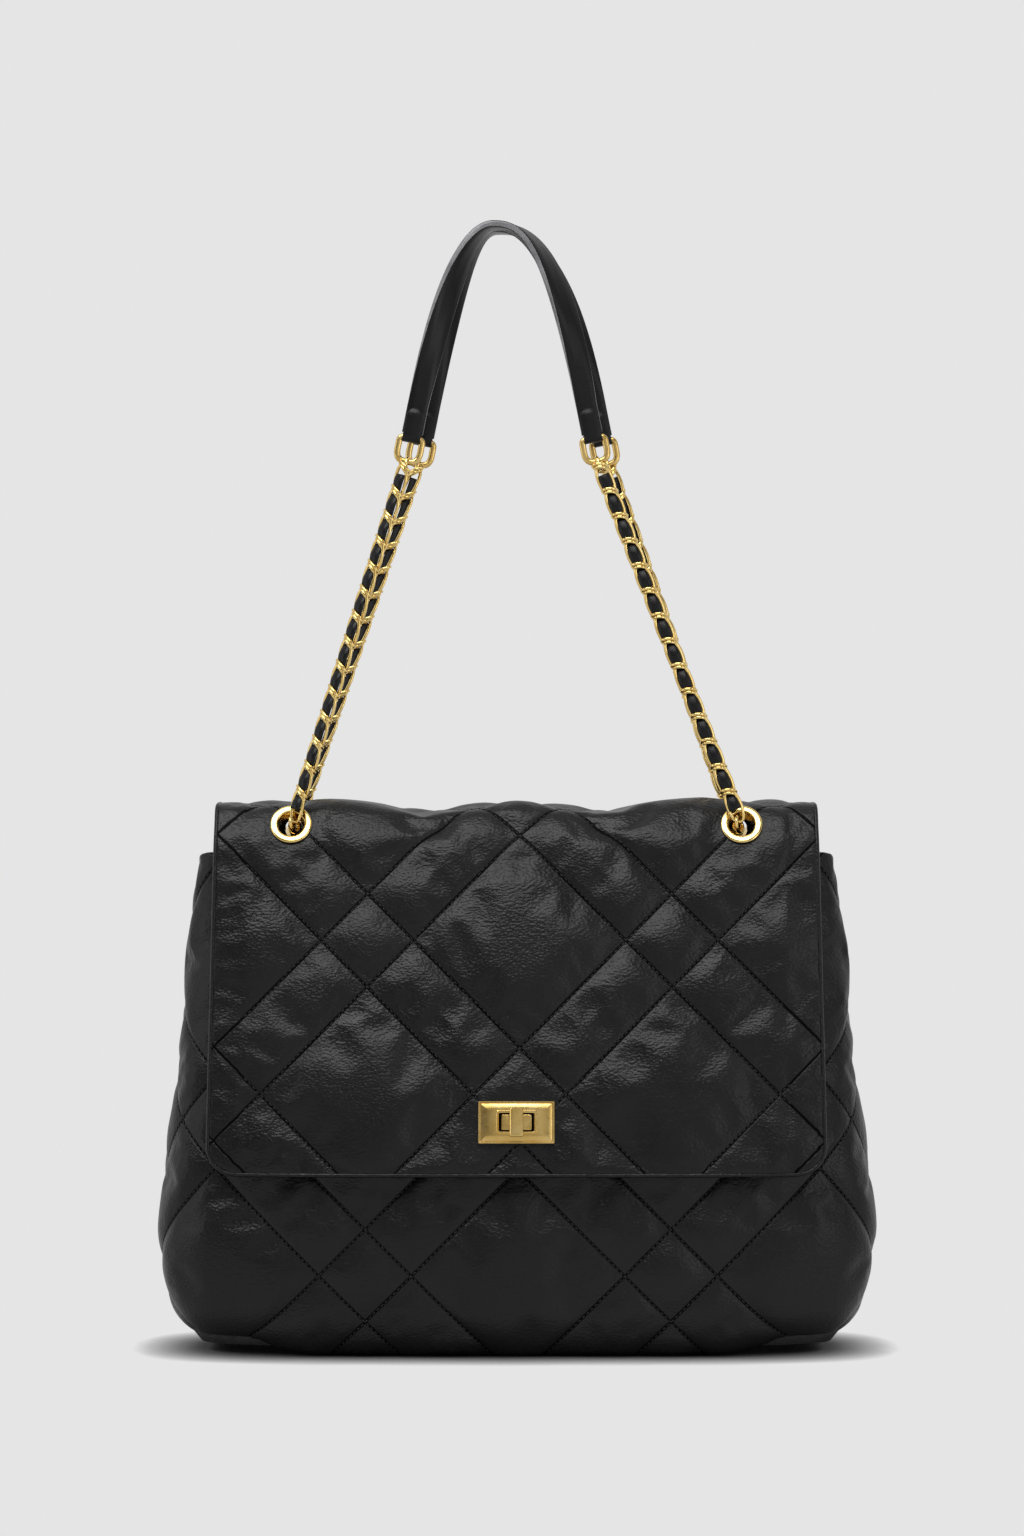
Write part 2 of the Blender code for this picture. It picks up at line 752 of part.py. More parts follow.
def flap_face_y(height):
    """How far from the bag's middle plane the flap's outer face lies, flat behind the lock."""
    slope = slope_at(LOCK_HEIGHT, POST_PLATE_TALL / 2)
    over = height - LOCK_HEIGHT
    if abs(over) <= LOCK_FLAT_REACH:
        height = LOCK_HEIGHT
    else:
        over = 0
    part = min(1, (BODY_HEIGHT - height) / LOCK_DROP)
    clear = FLAP_CLEAR_TOP + (FLAP_CLEAR_LOCK - FLAP_CLEAR_TOP) * part
    return half_depth_at(height) - slope * over + (flap_stack() + clear) / cos(atan(slope))


def flap_half_width(height):
    low, high = FLAP_BOTTOM, EYELET_HEIGHT
    part = min(1, max(0, (height - low) / (high - low)))
    width = FLAP_LOW_HALF_WIDTH + (FLAP_TOP_HALF_WIDTH - FLAP_LOW_HALF_WIDTH) * part
    short = FLAP_CORNER_RADIUS - (height - FLAP_BOTTOM)
    if short > 0:
        width -= FLAP_CORNER_RADIUS - (FLAP_CORNER_RADIUS ** 2 - short ** 2) ** 0.5
    return width


def flap_bend(share, y, z):
    """How far the flap's front has bent back towards the bag's sides."""
    if y > 0 or z > BODY_HEIGHT:
        return 0
    fall = min(1, (BODY_HEIGHT - z) / (LOCK_DROP * FLAP_BEND_FALL_SHARE))
    return FLAP_SIDE_BEND * fall * abs(share) ** FLAP_BEND_POWER


def flap_rows(inset):
    """The flap's outer surface without its quilting, drawn in at its sides by the inset."""
    rows = []
    for y, z in flap_profile(flap_heights()):
        half = flap_half_width(z) - inset
        shares = [1 - 2 * step / FLAP_STEPS for step in range(FLAP_STEPS + 1)]
        rows.append([Vector((half * share, y + flap_bend(share, y, z), z)) for share in shares])
    return rows


def flap_flatness(across, height):
    """0 where the flap's front stays plain, 1 where its quilting is full."""
    corner_top = FLAP_BOTTOM + FLAP_CORNER_RADIUS
    side = flap_half_width(height) - abs(across)
    lock = outside(across, height - LOCK_HEIGHT, LOCK_WIDTH / 2, LOCK_TALL / 2)
    eyelet = outside(abs(across) - EYELET_X, height - EYELET_HEIGHT, EYELET_RADIUS, EYELET_RADIUS)
    return fade_by(min(side, height - corner_top, BODY_HEIGHT - height, lock, eyelet))


def flap_face():
    """The quilted face of the flap, with the seams and the depth of each point."""
    corner = [FLAP_BOTTOM + FLAP_CORNER_RADIUS * share for share in FLAP_CORNER_SHARES]
    quilted = cells_between(corner[0], BODY_HEIGHT, FLAP_SEAM_CENTRE[1])
    narrowest = FLAP_LOW_HALF_WIDTH - FLAP_CORNER_RADIUS
    rows, depths, seams = [], [], []
    for y, z in flap_profile([BODY_HEIGHT, *reversed(quilted), *corner]):
        half = flap_half_width(z)
        line, line_depths, line_seams = [], [], []
        for place in reversed(places_across(half, narrowest, FLAP_SEAM_X, FLAP_SIDE_CELLS)):
            across, height, face_y, named = place, z, y, (None, None)
            if z in quilted and abs(place) < half:
                across, height, named = onto_seams(place, z, FLAP_SEAM_CENTRE, QUILT_CELL)
                face_y = -flap_face_y(height)
            bend = flap_bend(across / flap_half_width(height), face_y, height)
            line.append(Vector((across, face_y + bend, height)))
            puff = puff_share(across, height, FLAP_SEAM_CENTRE)
            sink = FLAP_SEAM_DEPTH * (1 - puff) - FLAP_PUFF * puff
            line_depths.append(sink * flap_flatness(place, z) if y < 0 else 0)
            line_seams.append(named)
        rows.append(line)
        depths.append(line_depths)
        seams.append(line_seams)
    return sunk_rows(rows, depths), seams, depths


def eyelet_matrix(front, side):
    """Axes of one eyelet: its own Z points out of the leather."""
    x = (EYELET_X if front else EYELET_X - EYELET_REAR_INSET) * side
    y, turn = (-EYELET_Y, 1) if front else (EYELET_Y, -1)
    lean = Matrix.Rotation(turn * (pi / 2 - EYELET_LEAN), 4, "X")
    return Matrix.Translation((x, y, EYELET_HEIGHT)) @ lean


def eyelet_places():
    return [
        (f"{end}_{hand}", eyelet_matrix(end == "front", side))
        for end in ("front", "rear")
        for hand, side in (("left", -1), ("right", 1))
    ]


def lock_matrix():
    """Axes of the turn lock: Z leaves the front panel's face, Y climbs along it."""
    lean = atan(slope_at(LOCK_HEIGHT, POST_PLATE_TALL / 2))
    spot = Vector((0, -half_depth_at(LOCK_HEIGHT), LOCK_HEIGHT))
    return Matrix.Translation(spot) @ Matrix.Rotation(pi / 2 - lean, 4, "X")


def build_flap(bag, hinge):
    outer, seams, depths = flap_face()
    inner = offset_rows(flap_rows(0), COVER_THICKNESS)
    mesh = closed_shell("flap_cover", outer, seams, depths, inner)
    cover = bag.add("flap_cover", mesh, LEATHER, hinge)
    under = offset_rows(flap_rows(FLAP_LINING_INSET), COVER_THICKNESS + LAYER_GAP)
    lining = bag.add("flap_lining", grid_mesh("flap_lining", under), LINING, hinge)
    add_thickness(lining, FLAP_LINING_THICKNESS)
    hole = EYELET_BARREL_RADIUS + SEAM_GAP
    reach = flap_stack() + CUT_OVERRUN
    for name, matrix in eyelet_places():
        punch = cylinder_mesh(f"{name}_punch", hole, -reach, CUT_OVERRUN)
        punch = bag.cutter(f"{name}_punch", punch, matrix)
        cut(cover, punch)
        cut(lining, punch)
    slot = box_mesh(
        "lock_slot",
        SLOT_WIDTH + LEATHER_SLOT_MARGIN,
        SLOT_TALL + LEATHER_SLOT_MARGIN,
        0,
        frame_seat() + CUT_OVERRUN,
    )
    slot = bag.cutter("lock_slot", slot, lock_matrix())
    cut(cover, slot)
    cut(lining, slot)


def build_eyelets(bag, hinge):
    low = -(flap_stack() + SEAM_GAP + WASHER_THICKNESS + SEAM_GAP)
    bore, barrel = EYELET_BORE_RADIUS, EYELET_BARREL_RADIUS
    profile = (
        (EYELET_RADIUS, SEAM_GAP),
        (barrel, SEAM_GAP),
        (barrel, low),
        (bore, low),
        (bore, EYELET_RISE),
        (bore + EYELET_ROUND, EYELET_RISE + SEAM_GAP),
        (EYELET_RADIUS - EYELET_ROUND / 2, EYELET_RISE),
    )
    top = -(flap_stack() + SEAM_GAP)
    bottom = top - WASHER_THICKNESS
    inner, outer = barrel + SEAM_GAP, barrel + WASHER_FLANGE
    washer_profile = ((outer, top), (outer, bottom), (inner, bottom), (inner, top))
    for name, matrix in eyelet_places():
        ring = bag.add(f"{name}_eyelet", turned_mesh(f"{name}_eyelet", profile), GOLD, hinge)
        add_screw(ring)
        place(ring, matrix)
        mesh = turned_mesh(f"{name}_eyelet_washer", washer_profile)
        washer = bag.add(f"{name}_eyelet_washer", mesh, GOLD, hinge)
        add_screw(washer)
        place(washer, matrix)


# Turn lock

def frame_seat():
    """Height over the front panel of the flap's outer face, along the lock's axis."""
    lean = cos(atan(slope_at(LOCK_HEIGHT, POST_PLATE_TALL / 2)))
    return (flap_face_y(LOCK_HEIGHT) - half_depth_at(LOCK_HEIGHT)) * lean


def add_bevel(piece, width, segments=1):
    bevel = piece.modifiers.new("edges", "BEVEL")
    bevel.width = width
    bevel.segments = segments
    bevel.limit_method = "ANGLE"


def build_lock_frame(bag, hinge):
    matrix = lock_matrix()
    low = frame_seat() + SEAM_GAP
    high = low + LOCK_THICKNESS
    slot = box_mesh("frame_slot", SLOT_WIDTH, SLOT_TALL, low - CUT_OVERRUN, high + CUT_OVERRUN)
    slot = bag.cutter("frame_slot", slot, matrix)
    mesh = box_mesh("lock_frame", LOCK_WIDTH, LOCK_TALL, low, high)
    frame = bag.add("lock_frame", mesh, GOLD, hinge)
    place(frame, matrix)
    add_bevel(frame, LOCK_CHAMFER)
    rim = box_mesh(
        "slot_rim", SLOT_WIDTH + 2 * SLOT_RIM, SLOT_TALL + 2 * SLOT_RIM, low, high + SLOT_RIM_RISE
    )
    rim = bag.cutter("slot_rim", rim, matrix)
    joined = frame.modifiers.new("slot_rim", "BOOLEAN")
    joined.operation = "UNION"
    joined.object = rim
    cut(frame, slot)

    plate_high = frame_seat() - flap_stack() - SEAM_GAP
    plate_low = plate_high - BACK_PLATE_THICKNESS
    mesh = box_mesh(
        "lock_back_plate",
        LOCK_WIDTH - BACK_PLATE_MARGIN,
        LOCK_TALL - BACK_PLATE_MARGIN,
        plate_low,
        plate_high,
    )
    plate = bag.add("lock_back_plate", mesh, GOLD, hinge)
    place(plate, matrix)
    hole = box_mesh(
        "plate_slot",
        SLOT_WIDTH + LEATHER_SLOT_MARGIN,
        SLOT_TALL + LEATHER_SLOT_MARGIN,
        plate_low - CUT_OVERRUN,
        plate_high + CUT_OVERRUN,
    )
    cut(plate, bag.cutter("plate_slot", hole, matrix))


def post_top():
    return frame_seat() + SEAM_GAP + LOCK_THICKNESS - POST_BELOW_FRAME


def build_lock_post(bag, panel, lining):
    matrix = lock_matrix()
    plate_high = SEAM_GAP + POST_PLATE_THICKNESS
    mesh = box_mesh("lock_post", POST_PLATE_WIDTH, POST_PLATE_TALL, SEAM_GAP, plate_high)
    post = bag.add("lock_post", mesh, GOLD)
    place(post, matrix)
    block = box_mesh("post_block", POST_WIDTH, POST_TALL, SEAM_GAP, post_top())
    block = bag.cutter("post_block", block, matrix)
    joined = post.modifiers.new("post_block", "BOOLEAN")
    joined.operation = "UNION"
    joined.object = block
    inner = PANEL_THICKNESS + LAYER_GAP + LINING_THICKNESS + LAYER_GAP
    bore = cylinder_mesh(
        "spindle_bore", SPINDLE_RADIUS + SPINDLE_CLEARANCE, -inner - CUT_OVERRUN, post_top() + CUT_OVERRUN
    )
    bore = bag.cutter("spindle_bore", bore, matrix)
    for piece in (post, panel, lining):
        cut(piece, bore)
    washer = cylinder_mesh(
        "lock_inner_washer", INNER_WASHER_RADIUS, -inner - WASHER_THICKNESS, -inner
    )
    washer = bag.add("lock_inner_washer", washer, GOLD)
    place(washer, matrix)
    cut(washer, bore)
    return -inner - WASHER_THICKNESS


def build_knob(bag, washer_low):
    matrix = lock_matrix()
    turn = bag.pivot("knob_axis", matrix.translation)
    low = post_top() + SLOT_RIM_RISE + POST_BELOW_FRAME + SEAM_GAP
    mesh = box_mesh("turn_knob", KNOB_WIDTH, KNOB_LENGTH, low, low + KNOB_THICKNESS)
    knob = bag.add("turn_knob", mesh, GOLD, turn)
    place(knob, matrix)
    add_bevel(knob, KNOB_EDGE)
    spindle_low = washer_low - SEAM_GAP
    spindle = cylinder_mesh("knob_spindle", SPINDLE_RADIUS, spindle_low, low - SEAM_GAP)
    place(bag.add("knob_spindle", spindle, GOLD, turn), matrix)
    head_high = spindle_low - SEAM_GAP
    head = cylinder_mesh(
        "spindle_head", SPINDLE_HEAD_RADIUS, head_high - SPINDLE_HEAD_THICKNESS, head_high
    )
    place(bag.add("spindle_head", head, GOLD, turn), matrix)


# Chains

def link_points(start, end, upright):
    """Centre line of one link between two contact points, flat to X or upright."""
    along = (end - start).normalized()
    across = (Vector((1, 0, 0)) - along * along.x).normalized()
    if upright:
        across = along.cross(across)
    middle = (start + end) / 2
    half_long = (end - start).length / 2 + LINK_WIRE_RADIUS - LINK_BITE / 2
    half_wide = LINK_WIDTH / 2 - LINK_WIRE_RADIUS
    return [
        middle + along * (half_long * a) + across * (half_wide * b) for a, b in LINK_OUTLINE_SHARES
    ]


def loose_ends(path):
    """Lengthens a run of chain so that its end links hang free in what they join."""
    slack = (LINK_GAP + LINK_BITE) / 2
    first = path[0] - (path[1] - path[0]).normalized() * slack
    last = path[-1] + (path[-1] - path[-2]).normalized() * slack
    return [first, *path[1:-1], last]


def points_along(path, count):
    """Contact points at even steps along a bent line."""
    step = path_length(path) / count
    return [spot_at(path, step * index) for index in range(count + 1)]


def build_chain(bag, name, path, count, first_upright, pivot):
    """A run of links, each biting a little into the next so that the run is one solid."""
    spots = points_along(loose_ends(path), count)
    sets = {False: [], True: []}
    for index, (start, end) in enumerate(zip(spots, spots[1:])):
        upright = (index % 2 == 0) == first_upright
        sets[upright].append(link_points(start, end, upright))
    flat = mesh_of_curve(wire_curve(name, sets[False], LINK_WIRE_RADIUS, True, 0))
    chain = bag.add(name, flat, GOLD, pivot)
    links = mesh_of_curve(wire_curve(f"{name}_upright", sets[True], LINK_WIRE_RADIUS, True, 0))
    joined = chain.modifiers.new("upright_links", "BOOLEAN")
    joined.operation = "UNION"
    joined.object = bag.cutter(f"{name}_upright", links, Matrix.Identity(4))


def chain_mouth(front, side):
    """Where the outer and inner chains meet, in front of an eyelet."""
    up = CHAIN_RISE_IN_BORE if front else -CHAIN_RISE_IN_BORE
    inwards = -side * CHAIN_INSET_IN_BORE if front else 0
    return eyelet_matrix(front, side) @ Vector((inwards, up, CHAIN_STAND_OFF))


def strand_axis(front, ring_points):
    """Height and depth of the line that a pair of strands swings about at the eyelets."""
    mouth = chain_mouth(front, 1)
    along = (ring_points[1] - mouth).normalized()
    return mouth - along * (LINK_WIRE_RADIUS + LINK_GAP / 2)


def lace_points(start, end):
    """A flat weave through every second link, beside the links that stand upright."""
    along = (end - start).normalized()
    across = (Vector((1, 0, 0)) - along * along.x).normalized()
    out = along.cross(across)
    steps = STRAND_LINKS * LACE_STEPS_PER_LINK
    points = []
    for index in range(LACE_STEPS_PER_LINK, steps - LACE_STEPS_PER_LINK):
        part = (index + 0.5) / steps
        phase = 2 * pi * (part * STRAND_LINKS - 0.5) / 2
        points.append(start.lerp(end, part) + across * LACE_SIDE + out * (LACE_SWING * sin(phase)))
    return points


def build_chain_pair(bag, end, pivot, ring_points):
    for hand, side, ring in (("left", -1, ring_points[0]), ("right", 1, ring_points[1])):
        mouth = chain_mouth(end == "front", side)
        build_chain(bag, f"{end}_{hand}_chain", [mouth, ring], STRAND_LINKS, False, pivot)
        name = f"{end}_{hand}_lace"
        path = [lace_points(mouth, ring)]
        bag.add(name, wire_curve(name, path, LACE_RADIUS, False, 0), LEATHER, pivot)


def build_inner_chains(bag, hinge):
    """The runs of chain that cross the saddle between a front and a rear eyelet."""
    for hand, side in (("left", -1), ("right", 1)):
        front, rear = chain_mouth(True, side), chain_mouth(False, side)
        bend_height = INNER_CHAIN_HEIGHT + INNER_CHAIN_BEND_RISE
        middle = (front + rear) / 2
        near = front.lerp(rear, (-INNER_CHAIN_BEND_Y - front.y) / (rear.y - front.y))
        far = front.lerp(rear, (INNER_CHAIN_BEND_Y - front.y) / (rear.y - front.y))
        near.z, far.z, middle.z = bend_height, bend_height, INNER_CHAIN_HEIGHT
        path = [front, near, middle, far, rear]
        build_chain(bag, f"saddle_{hand}_chain", path, INNER_LINKS, True, hinge)


# Leather straps

def strap_point(front, share):
    """Centre line of the arch, with share running from -1 on the left to 1 on the right."""
    towards = -1 if front else 1
    centre = STRAP_CENTRE_X + STRAP_APEX_SHIFT * (1 - abs(share)) ** 2
    centre += towards * STRAP_END_SHIFT * share * share
    x = centre + STRAP_HALF_SPAN * share
    z = STRAP_TOP - STRAP_DROP * abs(share) ** STRAP_ARCH_POWER
    y = towards * (STRAP_TOP_Y + (STRAP_END_Y - STRAP_TOP_Y) * share * share)
    return Vector((x, y, z))


def end_up(side):
    """Direction that a strap's end points in, from its ring up to the arch."""
    lean = STRAP_HALF_SPAN / (STRAP_ARCH_POWER * STRAP_DROP)
    return Vector((-side * lean, 0, 1)).normalized()


def strap_end(front, side):
    return strap_point(front, side) - end_up(side) * STRAP_STRAIGHT


def ring_top(front, side):
    """Middle of the ring's upper bar, inside the tab's loop."""
    return strap_end(front, side) - end_up(side) * (RING_WIRE_RADIUS + STRAP_RING_GAP)


def ring_bottom(front, side):
    return ring_top(front, side) - end_up(side) * RING_SPAN


def ring_contact(front, side):
    """Where the top link of a strand bears on its ring."""
    return ring_bottom(front, side) + end_up(side) * (RING_WIRE_RADIUS + LINK_GAP / 2)


def build_strap(bag, end, pivot):
    front = end == "front"
    shares = [-1 + 2 * step / STRAP_STEPS for step in range(STRAP_STEPS + 1)]
    path = [strap_end(front, -1)]
    path += [strap_point(front, share) for share in shares]
    path += [strap_end(front, 1)]
    turns = [1, *[abs(share) ** STRAP_TWIST_POWER for share in shares], 1]
    rows = []
    for index, (spot, turn) in enumerate(zip(path, turns)):
        before, after = path[max(index - 1, 0)], path[min(index + 1, len(path) - 1)]
        along = (after - before).normalized()
        flat = (Vector((0, 1, 0)) - along * along.y).normalized()
        side = flat.cross(along)
        sign = 1 if spot.x < STRAP_CENTRE_X else -1
        wide = flat * cos(turn * pi / 2) + side * (sign * sin(turn * pi / 2))
        half = (STRAP_TOP_WIDTH + (STRAP_END_WIDTH - STRAP_TOP_WIDTH) * turn) / 2
        rows.append([spot - wide * half, spot + wide * half])
    name = f"{end}_strap"
    strap = bag.add(name, grid_mesh(name, rows), LEATHER, pivot)
    add_thickness(strap, STRAP_THICKNESS, offset=0)


def build_ring(bag, name, front, side, pivot):
    up = end_up(side)
    across = Vector((0, 1, 0)).cross(up)
    low, high = ring_bottom(front, side), ring_top(front, side)
    middle, tall = (low + high) / 2, RING_SPAN / 2
    points = [
        middle + across * (RING_HALF_WIDTH * a) + up * (tall * b) for a, b in RING_OUTLINE_SHARES
    ]
    bag.add(name, wire_curve(name, [points], RING_WIRE_RADIUS, True, 1), GOLD, pivot)


def build_tab(bag, name, front, side, pivot):
    """A leather tab folded round the ring and stitched to both faces of the strap."""
    up = end_up(side)
    across = Vector((0, 1, 0)).cross(up)
    inner = STRAP_THICKNESS / 2 + LAYER_GAP
    centre = ring_top(front, side) + up * (inner - RING_WIRE_RADIUS - SEAM_GAP)
    leg_top = strap_end(front, side) + up * TAB_LEG
    out = Vector((0, 1, 0))
    path = [leg_top + out * inner]
    for step in range(TAB_ARC_STEPS + 1):
        angle = pi * step / TAB_ARC_STEPS
        path.append(centre + out * (inner * cos(angle)) - up * (inner * sin(angle)))
    path.append(leg_top - out * inner)
    half = across * (TAB_WIDTH / 2)
    rows = [[spot - half, spot + half] for spot in path]
    tab = bag.add(name, grid_mesh(name, rows), LEATHER, pivot)
    add_thickness(tab, TAB_THICKNESS, offset=1)


def build_strap_set(bag, end, hinge):
    front = end == "front"
    rings = [ring_contact(front, side) for side in (-1, 1)]
    swing = strand_axis(front, rings)
    chains = bag.pivot(f"{end}_chain_axis", (0, swing.y, swing.z), hinge)
    fold = ring_bottom(front, 1)
    pad = bag.pivot(f"{end}_strap_axis", (0, fold.y, fold.z), chains)
    build_chain_pair(bag, end, chains, rings)
    build_strap(bag, end, pad)
    for hand, side in (("left", -1), ("right", 1)):
        build_ring(bag, f"{end}_{hand}_ring", front, side, pad)
        build_tab(bag, f"{end}_{hand}_tab", front, side, pad)


# Zipped pocket

def pocket_matrix():
    """Axes of the zip pocket: Z leaves the rear lining towards the front, Y climbs."""
    lean = atan(slope_at(POCKET_HEIGHT, POCKET_FRAME_TALL / 2))
    depth = PANEL_THICKNESS + LAYER_GAP + LINING_THICKNESS
    spot = Vector((0, half_depth_at(POCKET_HEIGHT) - depth / cos(lean), POCKET_HEIGHT))
    return Matrix.Translation(spot) @ Matrix.Rotation(pi / 2 + lean, 4, "X")


def build_pocket(bag):
    matrix = pocket_matrix()
    low = POCKET_STAND_OFF
    high = low + ZIP_TAPE_THICKNESS
    wide, tall = POCKET_SLOT_WIDTH + ZIP_TAPE_MARGIN, POCKET_SLOT_TALL + ZIP_TAPE_MARGIN
    place(bag.add("zip_tape", box_mesh("zip_tape", wide, tall, low, high), LINING), matrix)
    low = high + SEAM_GAP
    high = low + POCKET_FRAME_THICKNESS
    mesh = box_mesh("pocket_frame", POCKET_FRAME_WIDTH, POCKET_FRAME_TALL, low, high)
    frame = bag.add("pocket_frame", mesh, LEATHER)
    place(frame, matrix)
    hole = box_mesh(
        "pocket_slot", POCKET_SLOT_WIDTH, POCKET_SLOT_TALL, low - CUT_OVERRUN, high + CUT_OVERRUN
    )
    cut(frame, bag.cutter("pocket_slot", hole, matrix))
    top = low + ZIP_TEETH_THICKNESS
    run = POCKET_SLOT_WIDTH - 2 * SEAM_GAP
    place(bag.add("zip_teeth", box_mesh("zip_teeth", run, ZIP_TEETH_TALL, low, top), GOLD), matrix)
    start = Matrix.Translation((-(run - SLIDER_WIDTH) / 2, 0, 0))
    axis = bag.pivot("zip_axis", (matrix @ start).translation)
    low = top + SEAM_GAP
    high = low + SLIDER_THICKNESS
    mesh = box_mesh("zip_slider", SLIDER_WIDTH, SLIDER_TALL, low, high)
    place(bag.add("zip_slider", mesh, GOLD, axis), matrix @ start)
    low = high + SEAM_GAP
    mesh = box_mesh("zip_pull", PULL_WIDTH, PULL_LENGTH, low, low + PULL_THICKNESS)
    hang = start @ Matrix.Translation((0, (PULL_WIDTH - PULL_LENGTH) / 2, 0))
    place(bag.add("zip_pull", mesh, GOLD, axis), matrix @ hang)


def build_bag():
    bag = Bag()
    front_panel = build_panel(bag, "front")
    build_panel(bag, "rear")
    front_lining = build_lining(bag, "front")
    build_lining(bag, "rear")
    build_base(bag)
    build_pocket(bag)
    hinge = bag.pivot("flap_axis", (0, flap_face_y(SKIRT_BOTTOM), SKIRT_BOTTOM))
    build_flap(bag, hinge)
    build_eyelets(bag, hinge)
    build_inner_chains(bag, hinge)
    build_lock_frame(bag, hinge)
    washer_low = build_lock_post(bag, front_panel, front_lining)
    build_knob(bag, washer_low)
    for end in ("front", "rear"):
        build_strap_set(bag, end, hinge)


def main():
    for piece in list(bpy.data.objects):
        bpy.data.objects.remove(piece, do_unlink=True)
    build_bag()


main()
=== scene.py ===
"""Looks of a quilted leather shoulder bag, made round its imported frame."""
from math import atan, ceil, cos, floor, hypot, pi, radians, sin

import bmesh
import bpy
from bpy.props import FloatProperty, FloatVectorProperty, IntProperty, PointerProperty
from mathutils import Matrix, Vector, noise
from mathutils.bvhtree import BVHTree


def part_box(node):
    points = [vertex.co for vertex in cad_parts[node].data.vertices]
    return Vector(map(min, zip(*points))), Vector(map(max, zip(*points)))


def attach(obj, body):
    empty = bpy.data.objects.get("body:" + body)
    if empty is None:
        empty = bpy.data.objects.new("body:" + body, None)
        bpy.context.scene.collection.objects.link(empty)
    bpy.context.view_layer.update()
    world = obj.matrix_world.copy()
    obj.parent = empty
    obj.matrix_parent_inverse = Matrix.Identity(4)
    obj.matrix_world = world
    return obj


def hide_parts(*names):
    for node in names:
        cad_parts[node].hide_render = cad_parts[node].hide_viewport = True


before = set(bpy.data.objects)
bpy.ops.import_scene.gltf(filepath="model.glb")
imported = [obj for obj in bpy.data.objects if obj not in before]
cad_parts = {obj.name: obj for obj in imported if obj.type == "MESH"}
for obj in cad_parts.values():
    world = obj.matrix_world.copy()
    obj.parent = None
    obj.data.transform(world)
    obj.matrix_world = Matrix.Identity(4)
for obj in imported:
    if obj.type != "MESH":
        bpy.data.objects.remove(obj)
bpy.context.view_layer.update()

bl_info = {
    "name": "Quilted Shoulder Bag",
    "version": (1, 0, 0),
    "blender": (4, 5, 0),
    "location": "3D View > Sidebar > Bag",
    "description": "Makes the quilted panels, flap, chains, straps and lock of a shoulder bag",
    "category": "Object",
}

SIDES = (("left", -1), ("right", 1))
ENDS = ("front", "rear")

# The bag's outline, as its solids have it
BODY_HEIGHT = 0.263
BODY_HALF_WIDTH = 0.192
BODY_HALF_DEPTH = 0.062
RISE_SHARES = (0.0, 0.02, 0.055, 0.115, 0.23, 0.38, 0.57, 0.76, 0.95, 1.0)
WIDTH_SHARES = (0.875, 0.904, 0.943, 0.974, 1.0, 0.979, 0.943, 0.917, 0.9, 0.896)
DEPTH_SHARES = (0.726, 0.839, 0.919, 0.968, 1.0, 0.968, 0.855, 0.694, 0.5, 0.435)
PANEL_WALL = 0.006
SEAM_GAP = 0.0003

FLAP_BOTTOM = 0.097
FLAP_TOP_HALF_WIDTH = 0.158
FLAP_LOW_HALF_WIDTH = 0.1605
FLAP_CORNER = 0.0147
FLAP_SIDE_BEND = 0.006
FLAP_STACK = 0.005
COVER_WALL = 0.0037
FLAP_CLEAR_TOP = 0.0009
FLAP_CLEAR_LOCK = 0.003
SKIRT_BOTTOM = 0.2495
SADDLE_CROWN = 0.0009
FLAP_KNOT_HEIGHTS = (FLAP_BOTTOM, 0.09994, 0.1106, 0.1354, 0.14991, 0.19988, 0.24985, BODY_HEIGHT)
FLAP_STEP = 0.001
FLAP_TURN_HEIGHT = 0.265
FLAP_BEND_FALL = 0.07

# The flap's top sags on both sides of its middle
FLAP_TOP_SLACK = 0.0038
FLAP_SLACK_X = 0.048
FLAP_SLACK_REACH = 0.026
FLAP_SLACK_HEIGHT = 0.266
FLAP_SLACK_RISE = 0.014

# Eyelets, and the flat of the saddle above and below each
EYELET_X = {"front": 0.1187, "rear": 0.1172}
EYELET_Y = 0.027
EYELET_HEIGHT = 0.278
EYELET_LEAN = radians(28)
EYELET_BORE = 0.007
EYELET_RADIUS = 0.011
EYELET_HOLE = 0.0092
EYELET_HOLE_RIM = 0.0088
EYELET_FLAT_ABOVE = 0.012
EYELET_FLAT_BELOW = 0.0105

# Turn lock: its flat patch on the flap, its lean and its plate
LOCK_HEIGHT = 0.123
LOCK_SLOPE = 0.1402
LOCK_LEAN = atan(LOCK_SLOPE)
LOCK_HALF_DEPTH = 0.056783
LOCK_FLAT = 0.0124
LOCK_PLATE_HALF_WIDTH = 0.0197
LOCK_PLATE_HALF_TALL = 0.0109
LOCK_SLOT_HALF_WIDTH = 0.0105
LOCK_SLOT_HALF_TALL = 0.0062
LOCK_FACE = 0.008

# Chains and straps
LINK_GAP = 0.00035
STRAND_UNITS = 14
INNER_UNITS = 5
STRAP_TOP = 0.596
STRAP_DROP = 0.095
STRAP_HALF_SPAN = 0.0445
STRAP_POWER = 2.33
STRAP_CENTRE_X = -0.0047
STRAP_APEX_SHIFT = -0.0056
STRAP_END_SHIFT = 0.0028
STRAP_TOP_Y = 0.0099
STRAP_END_Y = 0.012
STRAP_STRAIGHT = 0.016
RING_WIRE = 0.00115
RING_SPAN = 0.013
RING_HALF_WIDTH = 0.0075
RING_TOP_GAP = 0.001
STRAP_MIDDLE_WIDTH = 0.018
STRAP_END_WIDTH = 0.0112
STRAP_HALF_WALL = 0.0018
TAB_HALF_WIDTH = 0.0048
TAB_LENGTH = 0.014
TAB_WALL = 0.0014
END_LINK_DROP = 0.005
END_LINK_HALF_WIDTH = 0.0026

# The long link dives behind its lower neighbour. Two rings bind them, standing out from the lace
LINK_DIVE = 0.0016
BINDING_RISE = 0.0012
UPPER_BINDING = 0.0027
LOWER_BINDING = 0.0025

